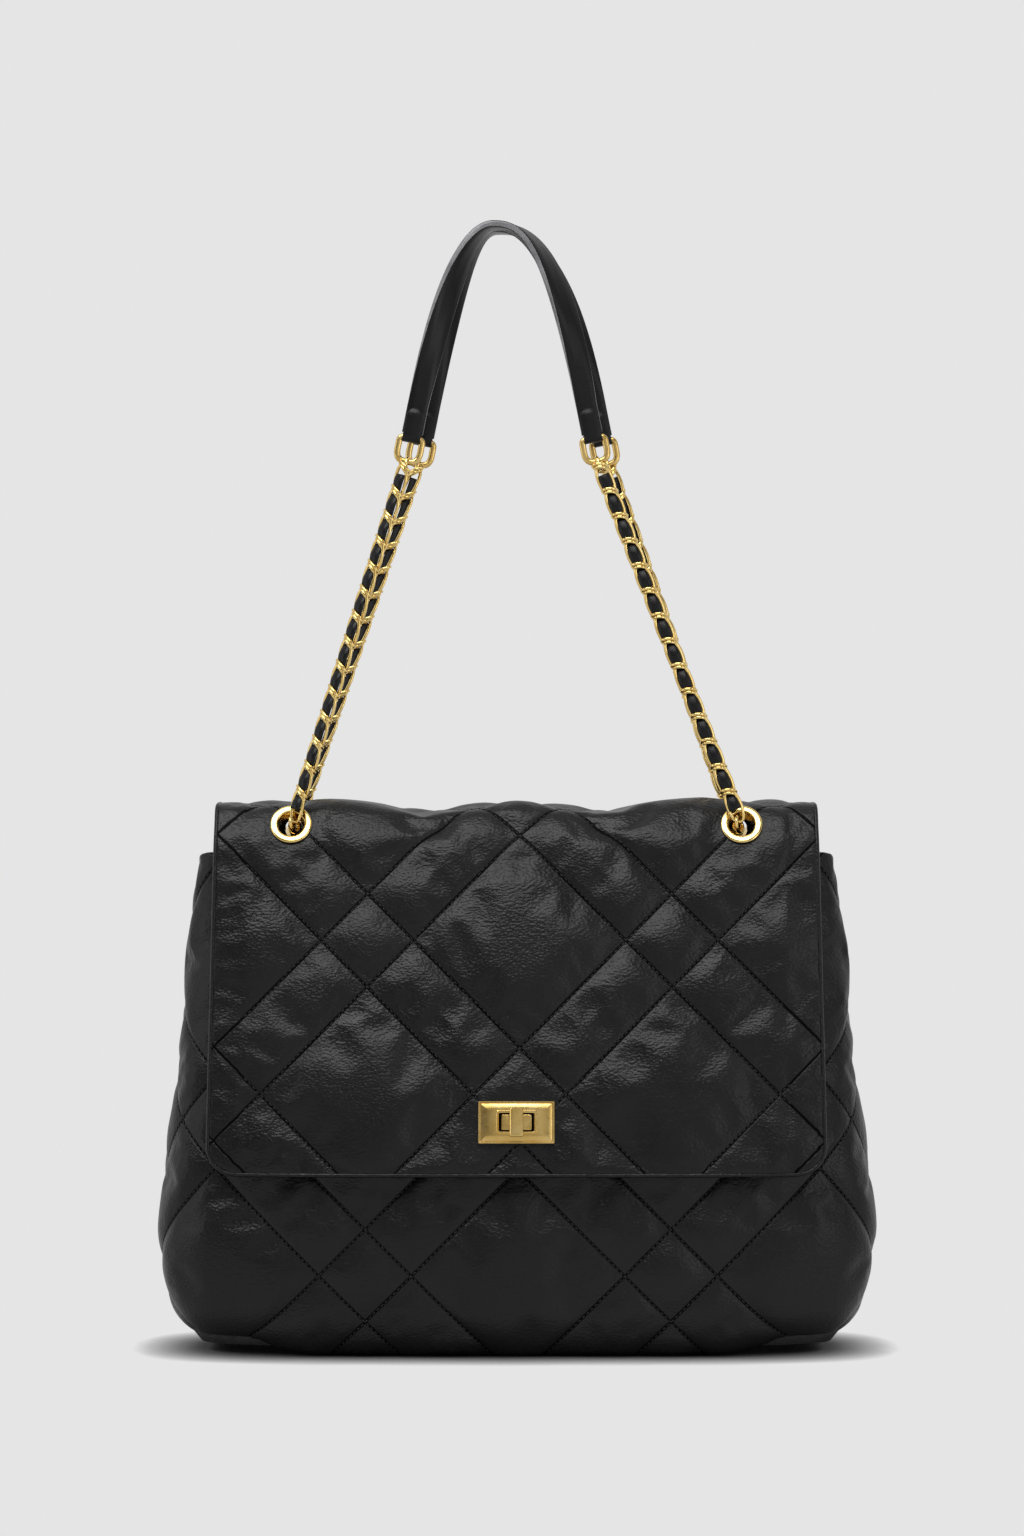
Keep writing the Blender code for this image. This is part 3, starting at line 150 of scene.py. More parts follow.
# Lace: how far it stands out between the rings and is drawn in under them
LACE_OUT = 0.0018
LACE_IN = 0.0004
LACE_DRAWN = 0.64
LACE_THIN = 0.0006
LACE_SWELL = 0.0008

# How far each side's chain is turned to the viewer, and how its rings lean
CHAIN_TURN = {"left": radians(40), "right": radians(6)}
CHAIN_LEAN = {"left": 0.6, "right": 0.28}
SADDLE_CHAIN_BEND_Y = 0.0205
SADDLE_CHAIN_HEIGHT = 0.276
SADDLE_CHAIN_LOW = 0.2746

# Zipped pocket, on the rear lining
POCKET_AXIS = (0, -0.9806, -0.1959)
POCKET_PLACE = (0, 0.04035, 0.175)
POCKET_HALF_WIDTH = 0.065
POCKET_HALF_TALL = 0.009
ZIP_HALF_WIDTH = 0.056
ZIP_HALF_TALL = 0.0035

# Base of the soft falloffs beside seams and in the flap's sag
FALLOFF_BASE = 2.71828

# Quilting: straight seams at 45 degrees, a wide and a narrow step in turn. The needle draws
# the leather in sharply within SEAM_REACH of a seam, and softly within PUFF_REACH
SEAM_PERIOD = 0.1595
SEAM_NARROW = 0.0484
SEAM_REACH = 0.006
PUFF_REACH = 0.026
GROOVE_WIDTH = 0.0013
DIAGONAL = 0.7071
SNAP_SHARE = 0.52
RIM_SHARE = 0.4
SWELL_FRAMES = 20
STITCH_STEP = 0.003
STITCH_REACH = 0.006
STITCH_MARGIN = 0.004

# Slow folds: noise scales across, up and by panel, and how much each raises the padding
LOOSE_FOLDS = ((17, 11, 90, 0.6), (34, 19, 50, 0.2))
SEAM_FOLDS = (55, 18, 40, 0.12)

# Panels: where their sheets keep step with the seams, and what draws their edges
PANEL_WIDEST_HEIGHT = 0.06
PANEL_CORE = 0.18
PANEL_RIM_CELLS = 18
PANEL_TRAVEL = 0.0022
PANEL_SKIN = 0.0016
MOUTH_FADE = 0.03
MOUTH_FALL = 0.007
CORNER_LIFT = 0.0078
CORNER_FROM_X = 0.1
CORNER_SPAN_X = 0.055
CORNER_HEIGHT = 0.04
GROUND_CLEAR = 0.0004

# Flap: the same of its sheet, and its turned edge
FLAP_CORE = 0.143
FLAP_RIM_CELLS = 6
FLAP_TRAVEL = 0.0025
FLAP_SKIN = 0.0018
FLAP_FADE = 0.012
FLAP_EDGE_FADE = 0.004
ROLL_HALF_WIDTH = 0.0013
ROLL_HALF_TALL = 0.002

# Centres of the seams' pattern, across and up
BODY_SEAM_CENTRE = (0.0008, 0.0991)
FLAP_SEAM_CENTRE = (0.0018, 0.2738)

# Linings
LINING_WALL = 0.0009
FACING_WALL = 0.0011
FLAP_LINING_WALL = 0.0008
FLAP_LINING_INSET = 0.003
BASE_INSET = 0.0042

# Stage: where the camera of the photograph stood, and the lamps with their aim and size
CAMERA_PLACE = (-0.0023, -2.4, 0.308)
CAMERA_LENS = 105.54
CAMERA_SENSOR = 36
FLOOR_HALF = 30
SHADOW_REACH = 0.03
WORLD_LIGHT = 0.25
WORLD_FRONT_VIEW = 0.17
LAMPS = {
    "key": ((-0.35, -1.15, 1.85), (0, 0, 0.2), (1.8, 1.0)),
    "front": ((0.3, -3.3, 0.95), (0, 0, 0.2), (1.6, 1.2)),
    "left": ((-1.7, -0.6, 0.6), (0, 0, 0.25), (0.6, 1.2)),
    "right": ((1.45, -1.5, 0.6), (0, 0, 0.25), (0.7, 1.3)),
}


def linear(code):
    """Turns an sRGB hex code to the linear colour that a shader takes."""
    values = [int(code[place:place + 2], 16) / 255 for place in (0, 2, 4)]
    return (*[v / 12.92 if v <= 0.04045 else ((v + 0.055) / 1.055) ** 2.4 for v in values], 1)


def add_node(tree, kind, inputs=None, **settings):
    """Adds a node with its settings, and sets or links each named input."""
    node = tree.nodes.new(kind)
    for name, value in settings.items():
        setattr(node, name, value)
    for name, value in (inputs or {}).items():
        if isinstance(value, bpy.types.NodeSocket):
            tree.links.new(value, node.inputs[name])
        else:
            node.inputs[name].default_value = value
    return node


# Materials

def new_shader(name, code, roughness, metallic=0.0):
    """A principled material, its tree, its shader and its object coordinates."""
    material = bpy.data.materials.new(name)
    material.use_nodes = True
    tree = material.node_tree
    shader = tree.nodes["Principled BSDF"]
    shader.inputs["Base Color"].default_value = linear(code)
    shader.inputs["Roughness"].default_value = roughness
    shader.inputs["Metallic"].default_value = metallic
    place = add_node(tree, "ShaderNodeTexCoord").outputs["Object"]
    return material, tree, shader, place


def vary(tree, shader, place, socket, scale, low, high):
    """Drives a shader value by a soft noise between two ends."""
    cloud = add_node(tree, "ShaderNodeTexNoise", {"Vector": place, "Scale": scale, "Detail": 3})
    spread = add_node(tree, "ShaderNodeMapRange", {
        "Value": cloud.outputs["Fac"], "From Min": 0.3, "From Max": 0.7, "To Min": low, "To Max": high})
    tree.links.new(spread.outputs["Result"], shader.inputs[socket])


def tint(tree, shader, place, scale, dark, light):
    """Varies the base colour between two hex codes by a soft noise."""
    cloud = add_node(tree, "ShaderNodeTexNoise", {"Vector": place, "Scale": scale, "Detail": 4})
    ramp = add_node(tree, "ShaderNodeValToRGB", {"Fac": cloud.outputs["Fac"]})
    ramp.color_ramp.elements[0].position, ramp.color_ramp.elements[1].position = 0.35, 0.65
    ramp.color_ramp.elements[0].color, ramp.color_ramp.elements[1].color = linear(dark), linear(light)
    tree.links.new(ramp.outputs["Color"], shader.inputs["Base Color"])
    return ramp.outputs["Color"]


def per_metre(millimetres):
    """Texture scale of a pattern whose repeat is given in millimetres."""
    return 1000 / millimetres


def seam_groove(tree):
    """1 along the stitched seams, worked out from the quilt coordinates that a sheet stores; it sinks the
    bump there and masks the painted shade of the grooves.
    """
    quilt = add_node(tree, "ShaderNodeAttribute", attribute_name="quilt").outputs["Vector"]
    across, up, quilted = add_node(tree, "ShaderNodeSeparateXYZ", {"Vector": quilt}).outputs

    def calculate(operation, first, second=0.0):
        return add_node(tree, "ShaderNodeMath", {0: first, 1: second}, operation=operation).outputs[0]

    nearest = None
    for family in ("ADD", "SUBTRACT"):
        step = calculate("FLOORED_MODULO", calculate(family, up, across), SEAM_PERIOD)
        for seam in (0.0, SEAM_NARROW, SEAM_PERIOD):
            away = calculate("ABSOLUTE", calculate("SUBTRACT", step, seam))
            nearest = calculate("MINIMUM", nearest, away) if nearest else away
    line = add_node(tree, "ShaderNodeMapRange", {
        "Value": nearest, "From Min": GROOVE_WIDTH, "From Max": GROOVE_WIDTH / 3},
        interpolation_type="SMOOTHSTEP").outputs["Result"]
    return calculate("MULTIPLY", line, quilted)


def lambskin():
    """The quilted leather of the panels, the flap and the base."""
    # Chrome tanned lambskin with a pressed grain: cells of about 1 mm, drawn out sideways,
    # under a semi matt finish, black between soft highlights. Seams are needled in, so a
    # narrow groove runs along each, where the quilt coordinates put it: its bump dips there,
    # and it is painted near black with its shine turned down, as painted shade
    material, tree, shader, place = new_shader("lambskin_pressed_grain", "0F0F10", 0.42)
    stretch = add_node(tree, "ShaderNodeMapping", {"Vector": place, "Scale": (0.75, 0.9, 1.2)})
    cells = add_node(tree, "ShaderNodeTexVoronoi", {
        "Vector": stretch.outputs["Vector"], "Scale": per_metre(1.25), "Randomness": 1.0},
        feature="SMOOTH_F1")
    creases = add_node(tree, "ShaderNodeTexNoise", {
        "Vector": stretch.outputs["Vector"], "Scale": per_metre(3.2), "Detail": 4, "Distortion": 0.4})
    grain = add_node(tree, "ShaderNodeMath", {
        0: creases.outputs["Fac"], 1: 0.55, 2: cells.outputs["Distance"]}, operation="MULTIPLY_ADD")
    groove = seam_groove(tree)
    height = add_node(tree, "ShaderNodeMath", {0: groove, 1: -1.6, 2: grain.outputs["Value"]},
                      operation="MULTIPLY_ADD")
    bump = add_node(tree, "ShaderNodeBump", {
        "Height": height.outputs["Value"], "Strength": 0.45, "Distance": 0.0006})
    tree.links.new(bump.outputs["Normal"], shader.inputs["Normal"])
    vary(tree, shader, place, "Roughness", per_metre(40), 0.34, 0.42)
    hide = tint(tree, shader, place, per_metre(60), "08080A", "0E0E0F")
    # Painted shade: the seam groove's colour is pulled to near black over the leather's own tone
    groove_painted_shade = add_node(tree, "ShaderNodeMix", {0: groove, 6: hide, 7: linear("030303")}, data_type="RGBA")
    tree.links.new(groove_painted_shade.outputs[2], shader.inputs["Base Color"])
    # Painted shade as well: the groove's specular level drops almost to nothing
    shine = add_node(tree, "ShaderNodeMapRange", {"Value": groove, "To Min": 0.27, "To Max": 0.03})
    tree.links.new(shine.outputs["Result"], shader.inputs["Specular IOR Level"])
    return material


def strap_hide():
    """The leather of the straps, tabs, laces, facings and the pocket's welt."""
    # Smooth calf for the straps: finer grain and a little more shine from handling
    material, tree, shader, place = new_shader("calf_smooth_finished", "0D0D0E", 0.34)
    shader.inputs["Specular IOR Level"].default_value = 0.22
    grain = add_node(tree, "ShaderNodeTexNoise", {"Vector": place, "Scale": per_metre(0.9), "Detail": 4})
    bump = add_node(tree, "ShaderNodeBump", {
        "Height": grain.outputs["Fac"], "Strength": 0.25, "Distance": 0.0003})
    tree.links.new(bump.outputs["Normal"], shader.inputs["Normal"])
    vary(tree, shader, place, "Roughness", per_metre(25), 0.3, 0.44)
    return material


def edge_paint():
    """The painted edges of the straps."""
    # Acrylic edge paint, several coats: a thin glossy line, greyer than the black leather
    material, tree, shader, place = new_shader("edge_paint_acrylic", "6C6C6E", 0.28)
    vary(tree, shader, place, "Roughness", per_metre(8), 0.22, 0.34)
    tint(tree, shader, place, per_metre(12), "5E5E60", "828284")
    return material


def thread():
    """The thread of the stitches."""
    # Bonded polyester thread, three plies, dull black
    material, tree, shader, place = new_shader("polyester_thread_bonded", "080809", 0.6)
    plies = add_node(tree, "ShaderNodeTexWave", {"Vector": place, "Scale": per_metre(0.6)},
                     wave_type="BANDS", bands_direction="DIAGONAL")
    bump = add_node(tree, "ShaderNodeBump", {
        "Height": plies.outputs["Fac"], "Strength": 0.3, "Distance": 0.0002})
    tree.links.new(bump.outputs["Normal"], shader.inputs["Normal"])
    return material


def twill():
    """The cloth of the linings and of the zip's tape."""
    # Polyester twill lining: diagonal ribs drawn at 1.2 mm, coarser than real so that they show
    material, tree, shader, place = new_shader("polyester_twill_woven", "232325", 0.78)
    ribs = add_node(tree, "ShaderNodeTexWave", {"Vector": place, "Scale": per_metre(1.2), "Distortion": 0.4},
                    wave_type="BANDS", bands_direction="DIAGONAL")
    bump = add_node(tree, "ShaderNodeBump", {
        "Height": ribs.outputs["Fac"], "Strength": 0.4, "Distance": 0.0003})
    tree.links.new(bump.outputs["Normal"], shader.inputs["Normal"])
    tint(tree, shader, place, per_metre(5), "1E1E20", "29292C")
    return material


def board():
    """The board in the base."""
    # Pulp board, calendered: flecked fibres in a warm grey brown
    material, tree, shader, place = new_shader("pulp_board_calendered", "8A7C68", 0.85)
    tint(tree, shader, place, per_metre(3), "7D705D", "958772")
    return material


def satin_brass():
    """The metal of the lock, the D rings and the zip's slider."""
    # Brass, brushed and lacquered: fine scratches of about 0.2 mm, drawn at 0.5 mm so they show
    material, tree, shader, place = new_shader("brass_brushed_lacquered", "D3B36E", 0.27, 1.0)
    stretch = add_node(tree, "ShaderNodeMapping", {"Vector": place, "Scale": (0.12, 1, 1)})
    lines = add_node(tree, "ShaderNodeTexNoise", {
        "Vector": stretch.outputs["Vector"], "Scale": per_metre(0.5), "Detail": 3})
    bump = add_node(tree, "ShaderNodeBump", {
        "Height": lines.outputs["Fac"], "Strength": 0.12, "Distance": 0.0002})
    tree.links.new(bump.outputs["Normal"], shader.inputs["Normal"])
    vary(tree, shader, place, "Roughness", per_metre(4), 0.24, 0.34)
    tint(tree, shader, place, per_metre(9), "CBA961", "DCBE7C")
    return material


def polished_gilt():
    """The metal of the chains, the eyelets and the zip's teeth."""
    # Gilt brass, tumbled and polished: small soft ripples and a bright clean reflection
    material, tree, shader, place = new_shader("gilt_brass_polished", "E6C87E", 0.17, 1.0)
    ripple = add_node(tree, "ShaderNodeTexNoise", {"Vector": place, "Scale": per_metre(2.5), "Detail": 2})
    bump = add_node(tree, "ShaderNodeBump", {
        "Height": ripple.outputs["Fac"], "Strength": 0.15, "Distance": 0.0004})
    tree.links.new(bump.outputs["Normal"], shader.inputs["Normal"])
    vary(tree, shader, place, "Roughness", per_metre(6), 0.13, 0.22)
    tint(tree, shader, place, per_metre(11), "E0BE72", "ECD08A")
    return material


FINISHES = {}


def finish_of(name):
    """The one material of each finish, made when it is first asked for."""
    makers = {"quilted_leather": lambskin, "strap_leather": strap_hide, "edge": edge_paint,
              "thread": thread, "lining_fabric": twill, "stiffener_board": board,
              "brushed_gold": satin_brass, "polished": polished_gilt}
    if name not in FINISHES:
        FINISHES[name] = makers[name]()
    return FINISHES[name]


# Meshes

def new_piece(name, mesh, *finishes):
    """A smooth object in the scene with its finishes."""
    piece = bpy.data.objects.new(name, mesh)
    bpy.context.scene.collection.objects.link(piece)
    for finish in finishes:
        mesh.materials.append(finish_of(finish))
    mesh.shade_smooth()
    return piece


def to_mesh(name, shape):
    """Turns a bmesh into a mesh and frees it."""
    mesh = bpy.data.meshes.new(name)
    shape.to_mesh(mesh)
    shape.free()
    return mesh


def grid(name, rows, keep=None):
    """A sheet of quads over rows of points, without those that keep turns down."""
    shape = bmesh.new()
    lines = [[shape.verts.new(point) for point in row] for row in rows]
    for j in range(len(lines) - 1):
        for i in range(len(lines[0]) - 1):
            if keep is None or keep(i, j):
                shape.faces.new((lines[j][i], lines[j][i + 1], lines[j + 1][i + 1], lines[j + 1][i]))
    return to_mesh(name, shape)


def join_rings(shape, low, high):
    """Quads all round between two rings of as many points."""
    for i in range(len(low)):
        k = (i + 1) % len(low)
        shape.faces.new((low[i], low[k], high[k], high[i]))


def capped_tube(name, rings):
    """A closed solid through rings of points, with both ends filled."""
    shape = bmesh.new()
    lines = [[shape.verts.new(point) for point in ring] for ring in rings]
    for low, high in zip(lines, lines[1:]):
        join_rings(shape, low, high)
    shape.faces.new(reversed(lines[0]))
    shape.faces.new(lines[-1])
    bmesh.ops.recalc_face_normals(shape, faces=shape.faces)
    return to_mesh(name, shape)


def ring_tube(name, *loops):
    """Closed solids through rings of points, where each loop's last ring meets its first."""
    shape = bmesh.new()
    for rings in loops:
        lines = [[shape.verts.new(point) for point in ring] for ring in rings]
        for low, high in zip(lines, lines[1:] + lines[:1]):
            join_rings(shape, low, high)
    bmesh.ops.recalc_face_normals(shape, faces=shape.faces)
    return to_mesh(name, shape)


def oval(middle, across, up, count):
    """Points round an oval, whose half axes are given as vectors."""
    turns = [2 * pi * step / count for step in range(count)]
    return [middle + across * cos(turn) + up * sin(turn) for turn in turns]


def signed_power(value, power):
    """A power that keeps the sign: under 1 it squares a circle's sides."""
    return abs(value) ** power * (1 if value > 0 else -1)


def wire_rings(points, radius, flat, sides):
    """Sections of a wire bent through a closed loop of points, flat across the loop's plane."""
    rings = []
    count = len(points)
    normal = Vector((0, 0, 0))
    for a, b in zip(points, points[1:] + points[:1]):
        normal += a.cross(b)
    normal.normalize()
    for index, point in enumerate(points):
        along = (points[(index + 1) % count] - points[index - 1]).normalized()
        out = along.cross(normal).normalized()
        up = out.cross(along)
        rings.append(oval(point, out * radius, up * (radius * flat), sides))
    return rings


TURN_STEPS = 64
CORNER_STEPS = 5


def turned(name, profile, matrix):
    """A closed outline of radius and height, turned round the matrix's own Z."""
    rings = []
    for step in range(TURN_STEPS):
        angle = 2 * pi * step / TURN_STEPS
        rings.append([matrix @ Vector((r * cos(angle), r * sin(angle), h)) for r, h in profile])
    return ring_tube(name, rings)


def rounded_rectangle(half_width, half_tall, corner, height):
    """Points round a rectangle with round corners, the same count for every size."""
    corner = max(corner, 0.00001)
    points = []
    for turn, (sx, sy) in enumerate(((1, 1), (-1, 1), (-1, -1), (1, -1))):
        for step in range(CORNER_STEPS + 1):
            angle = pi / 2 * (turn + step / CORNER_STEPS)
            points.append(Vector((sx * (half_width - corner) + corner * cos(angle),
                                  sy * (half_tall - corner) + corner * sin(angle), height)))
    return points


def bake(piece):
    """Applies every modifier of a piece and keeps the result as a plain mesh."""
    found = piece.evaluated_get(bpy.context.evaluated_depsgraph_get())
    mesh = bpy.data.meshes.new_from_object(found)
    piece.modifiers.clear()
    piece.data = mesh


def give_wall(piece, wall):
    """Gives a sheet a wall on its inner side."""
    shell = piece.modifiers.new("wall", "SOLIDIFY")
    shell.thickness, shell.offset = wall, -1
    bake(piece)


def sharpen(piece, degrees=35):
    """Smooth shading with sharp edges where faces meet at more than an angle."""
    piece.data.shade_smooth()
    piece.data.set_sharp_from_angle(angle=radians(degrees))
    return piece


# Geometry Nodes

def new_tree(name, *inputs):
    """A node group that takes geometry and named inputs, and gives geometry."""
    tree = bpy.data.node_groups.new(name, "GeometryNodeTree")
    tree.interface.new_socket("Geometry", in_out="INPUT", socket_type="NodeSocketGeometry")
    for label, kind in inputs:
        tree.interface.new_socket(label, in_out="INPUT", socket_type=kind)
    tree.interface.new_socket("Geometry", in_out="OUTPUT", socket_type="NodeSocketGeometry")
    return tree, tree.nodes.new("NodeGroupInput").outputs


def end_tree(tree, instances, material):
    """Ends a node group: real geometry, smooth and with its material."""
    solid = add_node(tree, "GeometryNodeRealizeInstances", {"Geometry": instances})
    smooth = add_node(tree, "GeometryNodeSetShadeSmooth", {"Geometry": solid.outputs["Geometry"]})
    painted = add_node(tree, "GeometryNodeSetMaterial", {
        "Geometry": smooth.outputs["Geometry"], "Material": material})
    out = tree.nodes.new("NodeGroupOutput")
    tree.links.new(painted.outputs["Geometry"], out.inputs["Geometry"])


def turned_to(tree, facing):
    """Rotation whose Z follows the path and whose Y leans to the facing vector."""
    along = add_node(tree, "GeometryNodeInputTangent")
    first = add_node(tree, "FunctionNodeAlignRotationToVector", {
        "Vector": along.outputs["Tangent"]}, axis="Z")
    second = add_node(tree, "FunctionNodeAlignRotationToVector", {
        "Rotation": first.outputs["Rotation"], "Vector": facing}, axis="Y", pivot_axis="Z")
    return second.outputs["Rotation"]


def stitch_tree():
    """Short rounded stitches, end to end along every path."""
    tree, given = new_tree("stitches", ("Pitch", "NodeSocketFloat"), ("Length", "NodeSocketFloat"),
                           ("Thickness", "NodeSocketFloat"), ("Material", "NodeSocketMaterial"))
    spots = add_node(tree, "GeometryNodeResampleCurve", {
        "Curve": given["Geometry"], "Length": given["Pitch"]}, mode="LENGTH")
    bead = add_node(tree, "GeometryNodeMeshUVSphere", {"Segments": 6, "Rings": 4, "Radius": 0.5})
    size = add_node(tree, "ShaderNodeCombineXYZ", {
        "X": given["Thickness"], "Y": given["Thickness"], "Z": given["Length"]})
    rows = add_node(tree, "GeometryNodeInstanceOnPoints", {
        "Points": spots.outputs["Curve"], "Instance": bead.outputs["Mesh"],
        "Rotation": turned_to(tree, (0, 0, 1)), "Scale": size.outputs["Vector"]})
    end_tree(tree, rows.outputs["Instances"], given["Material"])


def chain_tree():
    """Even copies of one link, object given, along a path and turned to one side."""
    tree, given = new_tree("chain_links", ("Link", "NodeSocketObject"), ("Count", "NodeSocketInt"),
                           ("Facing", "NodeSocketVector"), ("Material", "NodeSocketMaterial"))
    spots = add_node(tree, "GeometryNodeResampleCurve", {
        "Curve": given["Geometry"], "Count": given["Count"]}, mode="COUNT")
    link = add_node(tree, "GeometryNodeObjectInfo", {"Object": given["Link"]})
    rows = add_node(tree, "GeometryNodeInstanceOnPoints", {
        "Points": spots.outputs["Curve"], "Instance": link.outputs["Geometry"],
        "Rotation": turned_to(tree, given["Facing"])})
    end_tree(tree, rows.outputs["Instances"], given["Material"])


def teeth_tree():
    """Zip teeth in two rows that mesh along the path."""
    tree, given = new_tree("zip_teeth", ("Pitch", "NodeSocketFloat"), ("Tooth", "NodeSocketVector"),
                           ("Material", "NodeSocketMaterial"))
    spots = add_node(tree, "GeometryNodeResampleCurve", {
        "Curve": given["Geometry"], "Length": given["Pitch"]}, mode="LENGTH")
    tooth = add_node(tree, "GeometryNodeMeshCube", {"Size": given["Tooth"]})
    rows = add_node(tree, "GeometryNodeInstanceOnPoints", {
        "Points": spots.outputs["Curve"], "Instance": tooth.outputs["Mesh"],
        "Rotation": turned_to(tree, (0, 1, 0))})
    end_tree(tree, rows.outputs["Instances"], given["Material"])


def grow(name, tree, paths, values):
    """Runs a node group over paths of points and keeps the result as one plain mesh."""
    curve = bpy.data.curves.new(name, "CURVE")
    curve.dimensions = "3D"
    for path in paths:
        spline = curve.splines.new("POLY")
        spline.points.add(len(path) - 1)
        for point, spot in zip(spline.points, path):
            point.co = (*spot, 1)
    guide = bpy.data.objects.new(name + "_path", curve)
    bpy.context.scene.collection.objects.link(guide)
    modifier = guide.modifiers.new(name, "NODES")
    modifier.node_group = tree
    for socket in tree.interface.items_tree:
        if socket.in_out == "INPUT" and socket.name in values:
            modifier[socket.identifier] = values[socket.name]
    bpy.context.view_layer.update()
    found = guide.evaluated_get(bpy.context.evaluated_depsgraph_get())
    mesh = bpy.data.meshes.new_from_object(found)
    bpy.data.objects.remove(guide)
    piece = bpy.data.objects.new(name, mesh)
    bpy.context.scene.collection.objects.link(piece)
    return piece


# The bag's surfaces

def smoothed(points, reach):
    """Rounds the bends of a table of evenly spaced values."""
    result = []
    last = len(points) - 1
    for index, point in enumerate(points):
        window = min(index, last - index, reach)
        near = range(index - window, index + window + 1)
        weights = [cos(pi / 2 * (k - index) / (window + 1)) ** 2 for k in near]
        total = sum((points[k] * w for k, w in zip(near, weights)), point * 0)
        result.append(total * (1 / sum(weights)))
    return result


def read_shares(share, values):
    """Reads a row of shares at a share of the body's height, straight between its places."""
    for index in range(len(RISE_SHARES) - 1):
        low, high = RISE_SHARES[index], RISE_SHARES[index + 1]
        if share <= high:
            return values[index] + (values[index + 1] - values[index]) * (share - low) / (high - low)
    return values[-1]


# A value for every millimetre of the body's height
TABLE_STEPS = 263
WIDTHS, DEPTHS = (
    smoothed([half * read_shares(k / TABLE_STEPS, shares) for k in range(TABLE_STEPS + 1)], 14)
    for half, shares in ((BODY_HALF_WIDTH, WIDTH_SHARES), (BODY_HALF_DEPTH, DEPTH_SHARES)))


def read_table(table, height):
    """Reads a table whose values stand evenly from the ground to the mouth."""
    at = min(max(height / BODY_HEIGHT, 0), 1) * TABLE_STEPS
    low = min(int(at), TABLE_STEPS - 1)
    return table[low] + (table[low + 1] - table[low]) * (at - low)


PLAN_STEPS = 90


def plan_curve(width, depth):
    """Half of the soft rectangle seen from above, left to right, with its running length."""
    points = [Vector((-width, -SEAM_GAP))]
    for step in range(1, PLAN_STEPS):
        angle = pi * step / PLAN_STEPS
        across = -signed_power(cos(angle), 0.5)
        points.append(Vector((width * across, -max(depth * sin(angle) ** 0.5, SEAM_GAP))))
    points.append(Vector((width, -SEAM_GAP)))
    return points, run_lengths(points)


def run_lengths(points):
    """The running length from a path's start to each of its points."""
    lengths = [0.0]
    for a, b in zip(points, points[1:]):
        lengths.append(lengths[-1] + (b - a).length)
    return lengths


def at_length(points, lengths, length):
    """The point at a running length along a path."""
    length = min(max(length, 0.0), lengths[-1])
    low, high = 0, len(lengths) - 1
    while high - low > 1:
        middle = (low + high) // 2
        if lengths[middle] <= length:
            low = middle
        else:
            high = middle
    part = (length - lengths[low]) / (lengths[high] - lengths[low])
    return points[low].lerp(points[high], part)


class Body:
    """The outer face of one quilted panel, read by place along its plan and by height."""

    def __init__(self, side, inset):
        self.turn = 1 if side == "front" else -1
        self.inset = inset
        self.cache = {}

    def half(self, height):
        """Half the panel's run from one side seam to the other."""
        return self.plan(height)[1][-1] / 2

    def plan(self, height):
        """The plan's points and running lengths, kept for each tenth of a millimetre."""
        key = round(height * 10000)
        if key not in self.cache:
            at = key / 10000
            self.cache[key] = plan_curve(read_table(WIDTHS, at), read_table(DEPTHS, at))
        return self.cache[key]

    def point(self, across, height):
        """The place on the inset face at a run from the panel's middle."""
        points, lengths = self.plan(height)
        middle = lengths[-1] / 2
        spot = at_length(points, lengths, middle + across)
        before = at_length(points, lengths, middle + across - 0.002)
        after = at_length(points, lengths, middle + across + 0.002)
        along = (after - before).normalized()
        spot = spot + Vector((-along.y, along.x)) * self.inset
        return Vector((spot.x * self.turn, spot.y * self.turn, height))


def flap_face_y(height):
    """How far in front of the middle the flap's outer face stands, flat behind the lock."""
    over = 0
    at = height
    if abs(height - LOCK_HEIGHT) <= LOCK_FLAT:
        over, at = height - LOCK_HEIGHT, LOCK_HEIGHT
    part = min(1, (BODY_HEIGHT - at) / (BODY_HEIGHT - LOCK_HEIGHT))
    clear = FLAP_CLEAR_TOP + (FLAP_CLEAR_LOCK - FLAP_CLEAR_TOP) * part
    depth = BODY_HALF_DEPTH * read_shares(at / BODY_HEIGHT, DEPTH_SHARES)
    return depth - LOCK_SLOPE * over + (FLAP_STACK + clear) / cos(LOCK_LEAN)


def flap_line():
    """The flap's outer face seen from the side, from its front hem to its rear skirt."""
    down = Vector((sin(EYELET_LEAN), -cos(EYELET_LEAN)))
    eyelet = Vector((EYELET_Y, EYELET_HEIGHT))
    top, low = eyelet - down * EYELET_FLAT_ABOVE, eyelet + down * EYELET_FLAT_BELOW
    knots = [Vector((-flap_face_y(z), z)) for z in FLAP_KNOT_HEIGHTS]
    knots += [Vector((-low.x, low.y)), Vector((-top.x, top.y))]
    for share in (-0.75, -0.4, 0.0, 0.4, 0.75):
        knots.append(Vector((top.x * share, top.y + SADDLE_CROWN * (1 - abs(share) ** 2.5))))
    knots += [Vector((top.x, top.y)), Vector((low.x, low.y))]
    knots += [Vector((flap_face_y(z), z)) for z in (BODY_HEIGHT, SKIRT_BOTTOM)]
    lengths = run_lengths(knots)
    count = int(lengths[-1] / FLAP_STEP)
    even = [at_length(knots, lengths, lengths[-1] * k / count) for k in range(count + 1)]
    even = smoothed(even, 9)
    return even, run_lengths(even)


FLAP_LINE, FLAP_LENGTHS = flap_line()
FLAP_LENGTH = FLAP_LENGTHS[-1]


def flap_half_width(height):
    """Half the flap's width at a height, less its round corners at the hem."""
    part = min(1, max(0, (height - FLAP_BOTTOM) / (EYELET_HEIGHT - FLAP_BOTTOM)))
    width = FLAP_LOW_HALF_WIDTH + (FLAP_TOP_HALF_WIDTH - FLAP_LOW_HALF_WIDTH) * part
    short = FLAP_CORNER - (height - FLAP_BOTTOM)
    if short > 0:
        width -= FLAP_CORNER - max(FLAP_CORNER ** 2 - short ** 2, 0) ** 0.5
    return width


